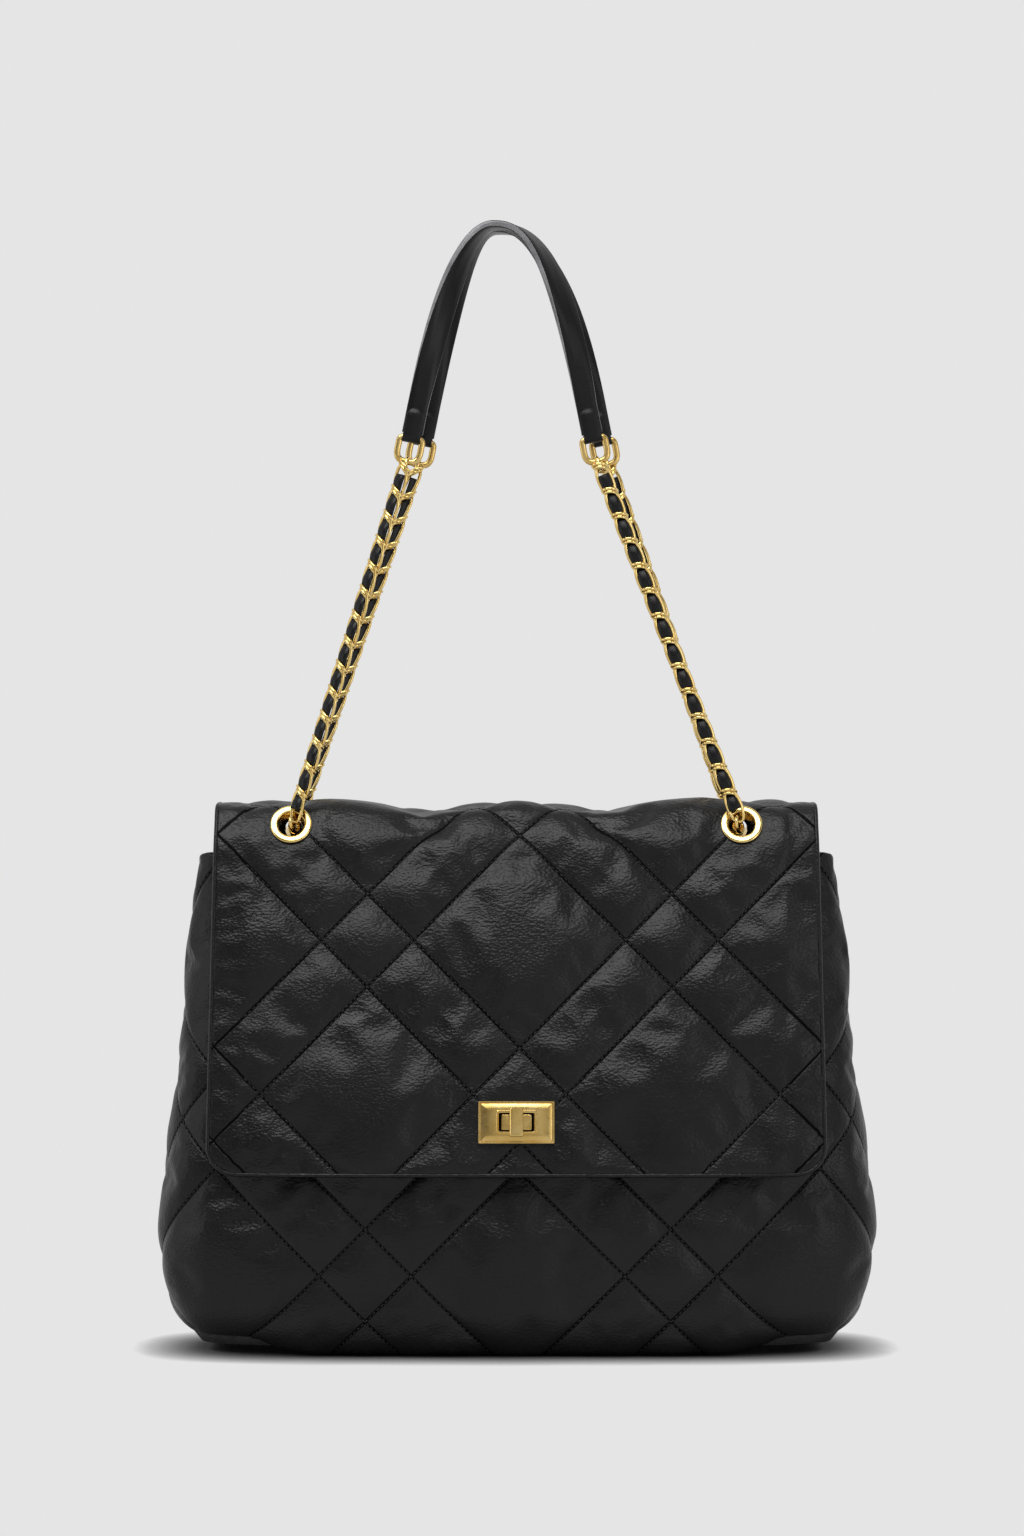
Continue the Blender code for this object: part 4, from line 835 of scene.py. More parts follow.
def flap_point(across, length):
    """A place on the flap's outer face: across it, and along it from its hem."""
    spot = at_length(FLAP_LINE, FLAP_LENGTHS, length)
    fall = 0
    if spot.x < 0 and spot.y < BODY_HEIGHT:
        fall = min(1, (BODY_HEIGHT - spot.y) / FLAP_BEND_FALL)
    bend = FLAP_SIDE_BEND * fall * min(1, abs(across) / flap_half_width(spot.y)) ** 4
    slack = min(1, max(0, (spot.y - FLAP_SLACK_HEIGHT) / FLAP_SLACK_RISE)) ** 2 * FLAP_TOP_SLACK
    slack *= FALLOFF_BASE ** (-((abs(across) - FLAP_SLACK_X) / FLAP_SLACK_REACH) ** 2)
    return Vector((across, spot.x + bend, spot.y - slack))


def flap_height(length):
    """The seams' height coordinate: true height down the front, and run length over the top."""
    if length <= FLAP_TOP_TURN:
        return at_length(FLAP_LINE, FLAP_LENGTHS, length).y
    return at_length(FLAP_LINE, FLAP_LENGTHS, FLAP_TOP_TURN).y + length - FLAP_TOP_TURN


def flap_run(height):
    """The run length from the hem where the seams' height coordinate has this value."""
    low, high = 0.0, FLAP_LENGTH
    for _ in range(30):
        middle = (low + high) / 2
        if flap_height(middle) < height:
            low = middle
        else:
            high = middle
    return (low + high) / 2


FLAP_TOP_TURN = next(run for spot, run in zip(FLAP_LINE, FLAP_LENGTHS) if spot.y > FLAP_TURN_HEIGHT)


def eyelet_matrix(end, side):
    """An eyelet's own axes: its middle on the leather, with Z out of its bore."""
    y, turn = (-EYELET_Y, 1) if end == "front" else (EYELET_Y, -1)
    lean = Matrix.Rotation(turn * (pi / 2 - EYELET_LEAN), 4, "X")
    return Matrix.Translation((EYELET_X[end] * side, y, EYELET_HEIGHT)) @ lean


EYELETS = [(f"{end}_{hand}", eyelet_matrix(end, side)) for end in ENDS for hand, side in SIDES]
LOCK = Matrix.Translation((0, -LOCK_HALF_DEPTH, LOCK_HEIGHT)) @ Matrix.Rotation(
    pi / 2 - LOCK_LEAN, 4, "X")


# Quilting

def nearest_seam(value):
    """Signed step from a diagonal coordinate to the seam nearest to it."""
    part = value % SEAM_PERIOD
    return min((0, SEAM_NARROW, SEAM_PERIOD), key=lambda seam: abs(seam - part)) - part


def seam_depth(across, height, centre, fill):
    """How far the padding stands over its seams, before the cloth is let swell."""
    a, b = across - centre[0], height - centre[1]
    rise, drawn = 1.0, 0.0
    fine, coarse, panel, share = SEAM_FOLDS
    for value, along in ((a + b, b - a), (b - a, a + b)):
        away = abs(nearest_seam(value)) * DIAGONAL
        rise *= 1 - 0.8 * FALLOFF_BASE ** (-away / SEAM_REACH) - 0.2 * FALLOFF_BASE ** (-away / PUFF_REACH)
        folds = noise.noise(Vector((along * fine, value * coarse, centre[1] * panel)))
        drawn += folds * away / SEAM_REACH * FALLOFF_BASE ** (1 - away / SEAM_REACH) * share
    loose = sum(noise.noise(Vector((across * wide, height * tall, centre[1] * seed))) * part
                for wide, tall, seed, part in LOOSE_FOLDS)
    return fill * rise * (1 + loose + drawn)


def snapped(across, height, centre, cell):
    """Moves a grid point onto a seam that passes within half a cell of it."""
    a, b = across - centre[0], height - centre[1]
    p, q = a + b, b - a
    on_p, on_q = nearest_seam(p), nearest_seam(q)
    held = False
    if abs(on_p) < cell * SNAP_SHARE:
        p, held = p + on_p, True
    if abs(on_q) < cell * SNAP_SHARE:
        q, held = q + on_q, True
    return (p - q) / 2 + centre[0], (p + q) / 2 + centre[1], held


def even_places(centre, cell, low, high):
    """Places in step with the seams between two ends, and the ends themselves."""
    first, last = ceil((low - centre) / cell + RIM_SHARE), floor((high - centre) / cell - RIM_SHARE)
    return [low, *(centre + k * cell for k in range(first, last + 1)), high]


def across_places(centre, cell, core, half, rim):
    """Places along a row: in step with the seams over its core, then evenly out to its sides."""
    inside = even_places(centre, cell, centre - core, centre + core)[1:-1]
    left = [-half + (inside[0] + half) * k / rim for k in range(rim)]
    right = [inside[-1] + (half - inside[-1]) * (k + 1) / rim for k in range(rim)]
    return left + inside + right


def mark_quilt(mesh, marks):
    """Stores each point's place in the quilting, and whether it is quilted there."""
    layer = mesh.attributes.new("quilt", "FLOAT_VECTOR", "POINT")
    layer.data.foreach_set("vector", [value for mark in marks for value in mark])


def split_seams(mesh, held):
    """Cuts the quads that a seam crosses from corner to corner along that seam."""
    shape = bmesh.new()
    shape.from_mesh(mesh)
    shape.verts.ensure_lookup_table()
    for face in list(shape.faces):
        if len(face.verts) != 4:
            continue
        a, b, c, d = face.verts
        for first, second, others in ((a, c, (b, d)), (b, d, (a, c))):
            if held[first.index] and held[second.index] and not any(held[v.index] for v in others):
                bmesh.utils.face_split(face, first, second)
                break
    shape.to_mesh(mesh)
    shape.free()


def swell(piece, held, pressure, growth, travel):
    """Fills a quilted sheet: held at its seams, it swells as padded cloth and is kept so.

    travel is the furthest that any point may go.
    """
    start = [vertex.co.copy() for vertex in piece.data.vertices]
    group = piece.vertex_groups.new(name="seams")
    group.add([index for index, fixed in enumerate(held) if fixed], 1.0, "REPLACE")
    cloth = piece.modifiers.new("padding", "CLOTH")
    cloth.settings.quality = 6
    cloth.settings.mass = 0.25
    cloth.settings.tension_stiffness = 25
    cloth.settings.compression_stiffness = 25
    cloth.settings.shear_stiffness = 12
    cloth.settings.bending_stiffness = 6
    cloth.settings.use_pressure = True
    cloth.settings.uniform_pressure_force = pressure
    cloth.settings.shrink_min = -growth
    cloth.settings.vertex_group_mass = "seams"
    cloth.settings.effector_weights.gravity = 0
    cloth.collision_settings.use_collision = False
    scene = bpy.context.scene
    scene.frame_start, scene.frame_end = 1, SWELL_FRAMES
    cloth.point_cache.frame_start, cloth.point_cache.frame_end = 1, SWELL_FRAMES
    for step in range(SWELL_FRAMES):
        scene.frame_set(step + 1)
    found = piece.evaluated_get(bpy.context.evaluated_depsgraph_get())
    ends = [vertex.co.copy() for vertex in found.data.vertices]
    piece.modifiers.clear()
    piece.vertex_groups.clear()
    scene.frame_set(1)
    for vertex, old, new in zip(piece.data.vertices, start, ends):
        move = new - old
        if move.length > travel:
            move *= travel / move.length
        vertex.co = old + move


def thicken(piece, wall):
    """Subdivides a soft sheet and gives it a wall."""
    soften = piece.modifiers.new("soften", "SUBSURF")
    soften.levels, soften.render_levels = 1, 1
    give_wall(piece, wall)


def seam_paths(point_at, inside, centre, low, high, left, right):
    """Points along every seam of both families that lie inside an outline."""
    paths = []
    span = int((right - left + high - low) / SEAM_PERIOD) + 2
    for family in (1, -1):
        for turn in range(-span, span + 1):
            for shift in (0, SEAM_NARROW):
                value = turn * SEAM_PERIOD + shift
                run = []
                b = low
                while b <= high:
                    a = (value - (b - centre[1])) * family + centre[0]
                    if inside(a, b):
                        run.append(point_at(a, b))
                    elif run:
                        paths.append(run)
                        run = []
                    b += STITCH_STEP
                paths.append(run)
    return [path for path in paths if len(path) > 2]


def drop_onto(piece, paths, lift=0.0001):
    """Lays paths on a finished surface, raised a little."""
    mesh = piece.data
    tree = BVHTree.FromPolygons([v.co for v in mesh.vertices], [list(f.vertices) for f in mesh.polygons])
    laid = []
    for path in paths:
        line = []
        for spot in path:
            place, normal, _, distance = tree.find_nearest(spot)
            if place is not None and distance < STITCH_REACH:
                line.append(place + normal * lift)
        if len(line) > 2:
            laid.append(line)
    return laid


# Settings that a user would change

class QuiltSettings(bpy.types.PropertyGroup):
    cells: IntProperty(name="Cells", description="Cells of the sheets in one period of the seams",
                       default=56)
    fill: FloatProperty(name="Fill", description="Height of the padding over its seams", default=0.0031,
                        unit="LENGTH")
    pressure: FloatProperty(name="Pressure", description="Pressure that swells the padding", default=3.0)
    growth: FloatProperty(name="Ease", description="Share of spare leather between seams", default=0.012)
    seam_sink: FloatProperty(name="Seam sink", description="Depth of the seams under the solid's face",
                             default=0.0034, unit="LENGTH")


class StitchSettings(bpy.types.PropertyGroup):
    pitch: FloatProperty(name="Pitch", description="From one stitch to the next", default=0.003,
                         unit="LENGTH")
    length: FloatProperty(name="Length", description="Length of a stitch", default=0.0023, unit="LENGTH")
    thickness: FloatProperty(name="Thickness", description="Width of the thread", default=0.0007,
                             unit="LENGTH")


class MetalSettings(bpy.types.PropertyGroup):
    link_width: FloatProperty(name="Link width", description="Outer width of a link", default=0.0092,
                              unit="LENGTH")
    wire: FloatProperty(name="Link wire", description="Radius of a link's wire", default=0.00095,
                        unit="LENGTH")
    lace_width: FloatProperty(name="Lace width", description="Width of the leather lace",
                              default=0.0062, unit="LENGTH")


class StageSettings(bpy.types.PropertyGroup):
    backdrop: FloatVectorProperty(name="Backdrop", description="Colour of the floor and backdrop",
                                  default=linear("E5E5E5")[:3], subtype="COLOR", size=3)
    key: FloatProperty(name="Key lamp", description="Power of the large lamp", default=35.0, unit="POWER")
    front: FloatProperty(name="Front lamp", description="Power of the lamp behind the camera", default=3.2,
                         unit="POWER")
    fill: FloatProperty(name="Side lamp", description="Power of the right lamp", default=7.0, unit="POWER")


# Body

def drawn_up(spot):
    """Lifts a place near the ground where the stuffed body draws its lower corners up."""
    part = min(max((abs(spot.x) - CORNER_FROM_X) / CORNER_SPAN_X, 0), 1)
    lift = CORNER_LIFT * part * part * (3 - 2 * part) * max(0, 1 - spot.z / CORNER_HEIGHT) ** 2
    return spot + Vector((0, 0, lift))


def make_panel(side, settings, stitches):
    """One quilted panel, swollen between its seams, with its stitches."""
    body = Body(side, 0)
    centre = BODY_SEAM_CENTRE
    cell = SEAM_PERIOD / settings.cells
    half = body.half(PANEL_WIDEST_HEIGHT)
    heights = even_places(centre[1], cell, 0.0, BODY_HEIGHT)
    rows, held, marks = [], [], []
    for j, height in enumerate(heights):
        line = []
        reach = body.half(height)
        places = across_places(centre[0], cell, PANEL_CORE, reach, PANEL_RIM_CELLS)
        for i, across in enumerate(places):
            edge = i in (0, len(places) - 1) or j in (0, len(heights) - 1)
            at, up, fixed = across, height, False
            if not edge:
                at, up, fixed = snapped(across, height, centre, cell)
                limit = body.half(up)
                at = min(max(at, -limit), limit)
            sink = settings.seam_sink
            if not edge:
                sink -= seam_depth(at, up, centre, settings.fill) * min(1, (BODY_HEIGHT - up) / MOUTH_FADE)
            body.inset = sink
            fallen = MOUTH_FALL * max(0, abs(across) / reach * 10 - 9) ** 2 * (height / BODY_HEIGHT) ** 9
            line.append(drawn_up(body.point(at, max(up, 0))) - Vector((0, 0, fallen)))
            held.append(fixed or edge)
            marks.append((at - centre[0], up - centre[1], 1.0))
        rows.append(line)
    mesh = grid(f"{side}_quilted_panel", rows)
    mark_quilt(mesh, marks)
    split_seams(mesh, held)
    piece = new_piece(f"{side}_quilted_panel", mesh, "quilted_leather")
    swell(piece, held, settings.pressure, settings.growth, PANEL_TRAVEL)
    for vertex in piece.data.vertices:
        vertex.co.z = max(vertex.co.z, GROUND_CLEAR)
    thicken(piece, PANEL_SKIN)
    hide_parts(f"{side}_panel")
    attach(piece, "root")

    body.inset = settings.seam_sink
    paths = seam_paths(lambda a, b: drawn_up(body.point(a, b)),
                       lambda a, b: abs(a) < body.half(b) - STITCH_MARGIN / 2,
                       centre, STITCH_MARGIN, BODY_HEIGHT - STITCH_MARGIN, -half, half)
    sew(f"{side}_panel_stitches", drop_onto(piece, paths), stitches, "root")


def sew(name, paths, stitches, body):
    """Stitches of thread along every path, as one piece."""
    piece = grow(name, bpy.data.node_groups["stitches"], paths, {
        "Pitch": stitches.pitch, "Length": stitches.length, "Thickness": stitches.thickness,
        "Material": finish_of("thread")})
    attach(piece, body)


class BAG_OT_panels(bpy.types.Operator):
    """Makes the two quilted panels of the body with their seams"""
    bl_idname = "bag.panels"
    bl_label = "Quilted Panels"

    def execute(self, context):
        for side in ENDS:
            make_panel(side, context.scene.bag_quilt, context.scene.bag_stitch)
        return {"FINISHED"}


def plate(name, low, high, finish, corner):
    """A thin plate with the base's soft rectangle outline and a rounded edge."""
    width, depth = WIDTHS[0] - BASE_INSET, DEPTHS[0] - BASE_INSET
    rings = []
    for shrink, height in ((corner, low), (0, low + corner * 0.6), (0, high - corner * 0.6), (corner, high)):
        points, _ = plan_curve(width - shrink, depth - shrink)
        front = [drawn_up(Vector((p.x, p.y, height))) for p in points[1:-1]]
        rings.append(front + [Vector((-p.x, -p.y, p.z)) for p in front])
    return new_piece(name, capped_tube(name, rings), finish)


class BAG_OT_base(bpy.types.Operator):
    """Makes the base, its stiffener and the lining over it"""
    bl_idname = "bag.base"
    bl_label = "Base"

    def execute(self, context):
        base = plate("base_leather", 0.0, 0.0045, "quilted_leather", 0.0015)
        stiff = plate("base_stiffener", 0.0048, 0.0068, "stiffener_board", 0.0002)
        lining = plate("base_lining_cloth", 0.0071, 0.0081, "lining_fabric", 0.0004)
        for piece, node, slot in ((base, "base_panel", "quilted_leather"),
                                  (stiff, "base_board", "stiffener_board"),
                                  (lining, "base_lining", "lining_fabric")):
            sharpen(piece)
            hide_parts(node)
            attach(piece, "root")
        return {"FINISHED"}


class BAG_OT_lining(bpy.types.Operator):
    """Makes the lining, the mouth facings and the zipped pocket"""
    bl_idname = "bag.lining"
    bl_label = "Lining and Pocket"

    def execute(self, context):
        for side in ENDS:
            body = Body(side, PANEL_WALL + 0.0005)
            for name, node, low, high, count, wall, finish in (
                    ("lining_cloth", "lining", 0.0055, 0.2226, 40, LINING_WALL, "lining_fabric"),
                    ("mouth_band", "mouth_facing", 0.2232, 0.2628, 10, FACING_WALL, "strap_leather")):
                rows = []
                for j in range(count + 1):
                    height = low + (high - low) * j / count
                    reach = body.half(height)
                    rows.append([body.point(reach * (2 * i / 90 - 1), height) for i in range(91)])
                piece = new_piece(f"{side}_{name}", grid(f"{side}_{name}", rows), finish)
                give_wall(piece, wall)
                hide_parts(f"{side}_{node}")
                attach(piece, "root")
        make_pocket()
        return {"FINISHED"}


def leaning(axis):
    """Turns Z to an axis and keeps X across the bag."""
    z = Vector(axis).normalized()
    x = Vector((1, 0, 0))
    return Matrix((x, z.cross(x), z)).transposed().to_4x4()


def slab(name, matrix, half_width, half_tall, low, high, corner, edge, finish):
    """A small plate with round corners and eased edges."""
    levels = ((edge, low), (0, low + edge), (0, high - edge), (edge, high))
    rings = [[matrix @ p for p in rounded_rectangle(half_width - e, half_tall - e, corner, h)]
             for e, h in levels]
    return sharpen(new_piece(name, capped_tube(name, rings), finish))


def make_pocket():
    """The zipped pocket: a leather welt round a slot, its zip, slider and pull."""
    lean = leaning(POCKET_AXIS)
    matrix = Matrix.Translation(POCKET_PLACE) @ lean
    tape = slab("zip_tape_cloth", matrix, ZIP_HALF_WIDTH + 0.0015, ZIP_HALF_TALL + 0.0015,
                0.0008, 0.0012, 0.001, 0.0001, "lining_fabric")
    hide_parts("zip_tape")
    outer, inner = (POCKET_HALF_WIDTH, POCKET_HALF_TALL), (ZIP_HALF_WIDTH, ZIP_HALF_TALL)
    levels = ((outer, 0, 0.0015), (outer, 0.0002, 0.0019), (outer, 0, 0.0025),
              (inner, 0.0002, 0.0025), (inner, 0, 0.0022), (inner, 0, 0.0015))
    rings = [[matrix @ p for p in rounded_rectangle(size[0] + out, size[1] + out, 0.002, height)]
             for size, out, height in levels]
    welt = new_piece("pocket_welt", ring_tube("pocket_welt", rings), "strap_leather")
    sharpen(welt)
    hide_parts("pocket_frame")
    path = [matrix @ Vector((x, 0, 0.0021)) for x in (0.0005 - ZIP_HALF_WIDTH, ZIP_HALF_WIDTH - 0.0005)]
    upper = [p + matrix.to_3x3() @ Vector((0, 0.0006, 0)) for p in path]
    lower = [p + matrix.to_3x3() @ Vector((0.00075, -0.0006, 0)) for p in path]
    teeth = grow("zip_teeth_rows", bpy.data.node_groups["zip_teeth"], [upper, lower], {
        "Pitch": 0.0015, "Tooth": (0.0012, 0.0018, 0.0008), "Material": finish_of("polished")})
    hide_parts("zip_teeth")
    for piece in (tape, welt, teeth):
        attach(piece, "root")
    low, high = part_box("zip_slider")
    start = Matrix.Translation(((low.x + high.x) / 2, *POCKET_PLACE[1:])) @ lean
    slider = slab("zip_slider_body", start, 0.0045, 0.003, 0.0032, 0.0054, 0.0012, 0.0004, "brushed_gold")
    hang = start @ Matrix.Translation((0, -0.0105, 0))
    pull = slab("zip_pull_tab", hang, 0.0025, 0.013, 0.0057, 0.0065, 0.0022, 0.0002, "brushed_gold")
    for piece, node in ((slider, "zip_slider"), (pull, "zip_pull")):
        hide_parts(node)
        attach(piece, "zip")


# Flap

def near_eyelet(spot):
    """How far a point lies from the middle of the nearest eyelet."""
    return min((spot - matrix.translation).length for _, matrix in EYELETS)


def lock_reach(spot):
    """How far a point lies outside the lock's plate, below zero over the plate."""
    local = LOCK.inverted() @ spot
    return max(abs(local.x) - LOCK_PLATE_HALF_WIDTH, abs(local.y) - LOCK_PLATE_HALF_TALL)


def flap_sink(across, run, up, settings):
    """Depth of the flap's face under its solid's face, before the padding swells."""
    spot = flap_point(across, run)
    flat = min(1.0, max(0.0, near_eyelet(spot) - EYELET_RADIUS) / FLAP_FADE,
               max(0.0, lock_reach(spot) - 0.0005) / FLAP_FADE)
    edge = min(flap_half_width(spot.y) - abs(across), run, FLAP_LENGTH - run)
    flat = max(min(flat, edge / FLAP_EDGE_FADE), 0.0)
    rise = seam_depth(across, up, FLAP_SEAM_CENTRE, settings.fill)
    return (settings.seam_sink * 0.5 - rise) * flat


def make_flap_cover(settings, stitches):
    """The flap's quilted leather with its holes for the eyelets and the lock, and its stitches."""
    cell = SEAM_PERIOD / settings.cells
    ups = even_places(FLAP_SEAM_CENTRE[1], cell, FLAP_BOTTOM, flap_height(FLAP_LENGTH))
    rows, held, marks = [], [], []
    for j, up in enumerate(ups):
        run = flap_run(up)
        half = flap_half_width(at_length(FLAP_LINE, FLAP_LENGTHS, run).y)
        places = across_places(FLAP_SEAM_CENTRE[0], cell, FLAP_CORE, half, FLAP_RIM_CELLS)
        line = []
        for i, across in enumerate(places):
            edge = i in (0, len(places) - 1) or j in (0, len(ups) - 1)
            at_up, fixed = up, False
            if not edge:
                across, at_up, fixed = snapped(across, up, FLAP_SEAM_CENTRE, cell)
            at_run = flap_run(at_up) if fixed else run
            sink = flap_sink(across, at_run, at_up, settings)
            spot = flap_point(across, at_run) - flap_normal(across, at_run) * sink
            close = near_eyelet(spot)
            clear = close > EYELET_RADIUS + 0.0005 and lock_reach(spot) > 0
            line.append(spot)
            held.append(fixed or edge or close < EYELET_RADIUS + 0.002 or lock_reach(spot) < 0.001)
            marks.append((across - FLAP_SEAM_CENTRE[0], at_up - FLAP_SEAM_CENTRE[1], float(clear)))
        rows.append(line)

    def kept(i, j):
        corners = [rows[j][i], rows[j][i + 1], rows[j + 1][i], rows[j + 1][i + 1]]
        if all(near_eyelet(c) < EYELET_HOLE for c in corners):
            return False
        local = [LOCK.inverted() @ c for c in corners]
        return not all(abs(p.x) < LOCK_SLOT_HALF_WIDTH and abs(p.y) < LOCK_SLOT_HALF_TALL
                       and abs(p.z) < 0.02 for p in local)

    for _, matrix in EYELETS:
        back = matrix.inverted()
        for line in rows:
            for index, spot in enumerate(line):
                local = back @ spot
                away = hypot(local.x, local.y)
                if abs(local.z) < 0.006 and EYELET_HOLE - cell * 1.4 < away < EYELET_HOLE:
                    outwards = EYELET_HOLE_RIM / max(away, 0.001)
                    line[index] = matrix @ Vector((local.x * outwards, local.y * outwards, local.z))
    mesh = grid("quilted_flap", rows, keep=kept)
    mark_quilt(mesh, marks)
    split_seams(mesh, held)
    piece = new_piece("quilted_flap", mesh, "quilted_leather")
    swell(piece, held, settings.pressure, settings.growth, FLAP_TRAVEL)
    loose = bmesh.new()
    loose.from_mesh(piece.data)
    bmesh.ops.delete(loose, geom=[v for v in loose.verts if not v.link_faces], context="VERTS")
    loose.to_mesh(piece.data)
    loose.free()
    thicken(piece, FLAP_SKIN)
    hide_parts("flap_cover")
    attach(piece, "flap")

    make_flap_roll()

    def inside(a, b):
        run = flap_run(b)
        spot = flap_point(a, run)
        return (abs(a) < flap_half_width(spot.y) - STITCH_MARGIN and lock_reach(spot) > 0
                and near_eyelet(spot) > EYELET_RADIUS + 0.0005)

    paths = seam_paths(lambda a, b: flap_point(a, flap_run(b)), inside, FLAP_SEAM_CENTRE,
                       FLAP_BOTTOM + STITCH_MARGIN, flap_height(FLAP_LENGTH) - STITCH_MARGIN,
                       -0.16, 0.16)
    sew("flap_stitches", drop_onto(piece, paths), stitches, "flap")


def flap_normal(across, run):
    """The direction that the flap's outer face looks in, straight across any bend."""
    ahead = flap_point(across, min(run + 0.002, FLAP_LENGTH))
    behind = flap_point(across, max(run - 0.002, 0))
    return Vector((1, 0, 0)).cross(ahead - behind).normalized()


def make_flap_roll():
    """The turned edge of the flap: a slim roll down both sides and along the hem."""
    runs = [0.001 + (FLAP_LENGTH - 0.004) * (k / 170) for k in range(170, -1, -1)]
    down = []
    for run in runs:
        half = flap_half_width(at_length(FLAP_LINE, FLAP_LENGTHS, run).y)
        down.append((flap_point(-half, run), flap_normal(0, run)))
    reach = -down[-1][0].x
    hem = [(flap_point(reach * (2 * k / 60 - 1), 0.0), down[-1][1]) for k in range(1, 60)]
    path = down + hem + [(Vector((-spot.x, spot.y, spot.z)), normal) for spot, normal in reversed(down)]
    rings = []
    for index, (spot, normal) in enumerate(path):
        along = (path[min(index + 1, len(path) - 1)][0] - path[max(index - 1, 0)][0]).normalized()
        across = along.cross(normal).normalized()
        middle = spot - normal * (COVER_WALL * 0.4)
        rings.append(oval(middle, across * ROLL_HALF_WIDTH, normal * ROLL_HALF_TALL, 10))
    roll = new_piece("flap_turned_edge", capped_tube("flap_turned_edge", rings), "quilted_leather")
    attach(roll, "flap")


class BAG_OT_flap(bpy.types.Operator):
    """Makes the quilted flap, its lining and its turned edge"""
    bl_idname = "bag.flap"
    bl_label = "Flap"

    def execute(self, context):
        make_flap_cover(context.scene.bag_quilt, context.scene.bag_stitch)
        rows = []
        for j in range(81):
            run = FLAP_LINING_INSET + (FLAP_LENGTH - 2 * FLAP_LINING_INSET) * j / 80
            half = flap_half_width(at_length(FLAP_LINE, FLAP_LENGTHS, run).y) - FLAP_LINING_INSET
            line = []
            for i in range(41):
                spot = flap_point(half * (2 * i / 40 - 1), run)
                line.append(spot - flap_normal(spot.x, run) * (COVER_WALL + 0.0005))
            rows.append(line)

        def kept(i, j):
            middle = (rows[j][i] + rows[j + 1][i + 1]) / 2
            local = LOCK.inverted() @ middle
            return near_eyelet(middle) > 0.0105 and not (abs(local.x) < 0.0095 and abs(local.y) < 0.006)

        lining = new_piece("flap_lining_cloth", grid("flap_lining_cloth", rows, keep=kept), "lining_fabric")
        give_wall(lining, FLAP_LINING_WALL)
        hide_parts("flap_lining")
        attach(lining, "flap")
        return {"FINISHED"}


# Eyelets

class BAG_OT_eyelets(bpy.types.Operator):
    """Makes the eyelets in the saddle and the washers behind them"""
    bl_idname = "bag.eyelets"
    bl_label = "Eyelets"

    def execute(self, context):
        outside, foot, seat, lip = EYELET_BORE + 0.0007, -0.0061, 0.0003, 0.0006
        middle, half = (EYELET_RADIUS + EYELET_BORE) / 2, (EYELET_RADIUS - EYELET_BORE) / 2
        profile = [(outside, seat), (outside, foot), (EYELET_BORE, foot), (EYELET_BORE, lip)]
        for step in range(13):
            angle = pi * step / 12
            radius = middle - half * signed_power(cos(angle), 0.75)
            profile.append((radius, lip + 0.0011 * sin(angle) ** 0.6))
        profile.append((EYELET_RADIUS, seat))
        washer = [(0.0087, -0.0053), (0.0087, -0.0058), (0.008, -0.0058), (0.008, -0.0053)]
        for name, matrix in EYELETS:
            for part, outline, node in (("ring", profile, "eyelet"), ("back", washer, "eyelet_washer")):
                label = f"{name}_eyelet_{part}"
                piece = new_piece(label, turned(label, outline, matrix), "polished")
                sharpen(piece, 50)
                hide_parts(f"{name}_{node}")
                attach(piece, "flap")
        return {"FINISHED"}


# Turn lock

def lofted(name, matrix, levels, finish, closed):
    """A solid through rounded rectangles: half width, half height, corner and height each."""
    rings = [[matrix @ p for p in rounded_rectangle(w, t, c, h)] for w, t, c, h in levels]
    mesh = ring_tube(name, rings) if closed else capped_tube(name, rings)
    return sharpen(new_piece(name, mesh, finish), 20)


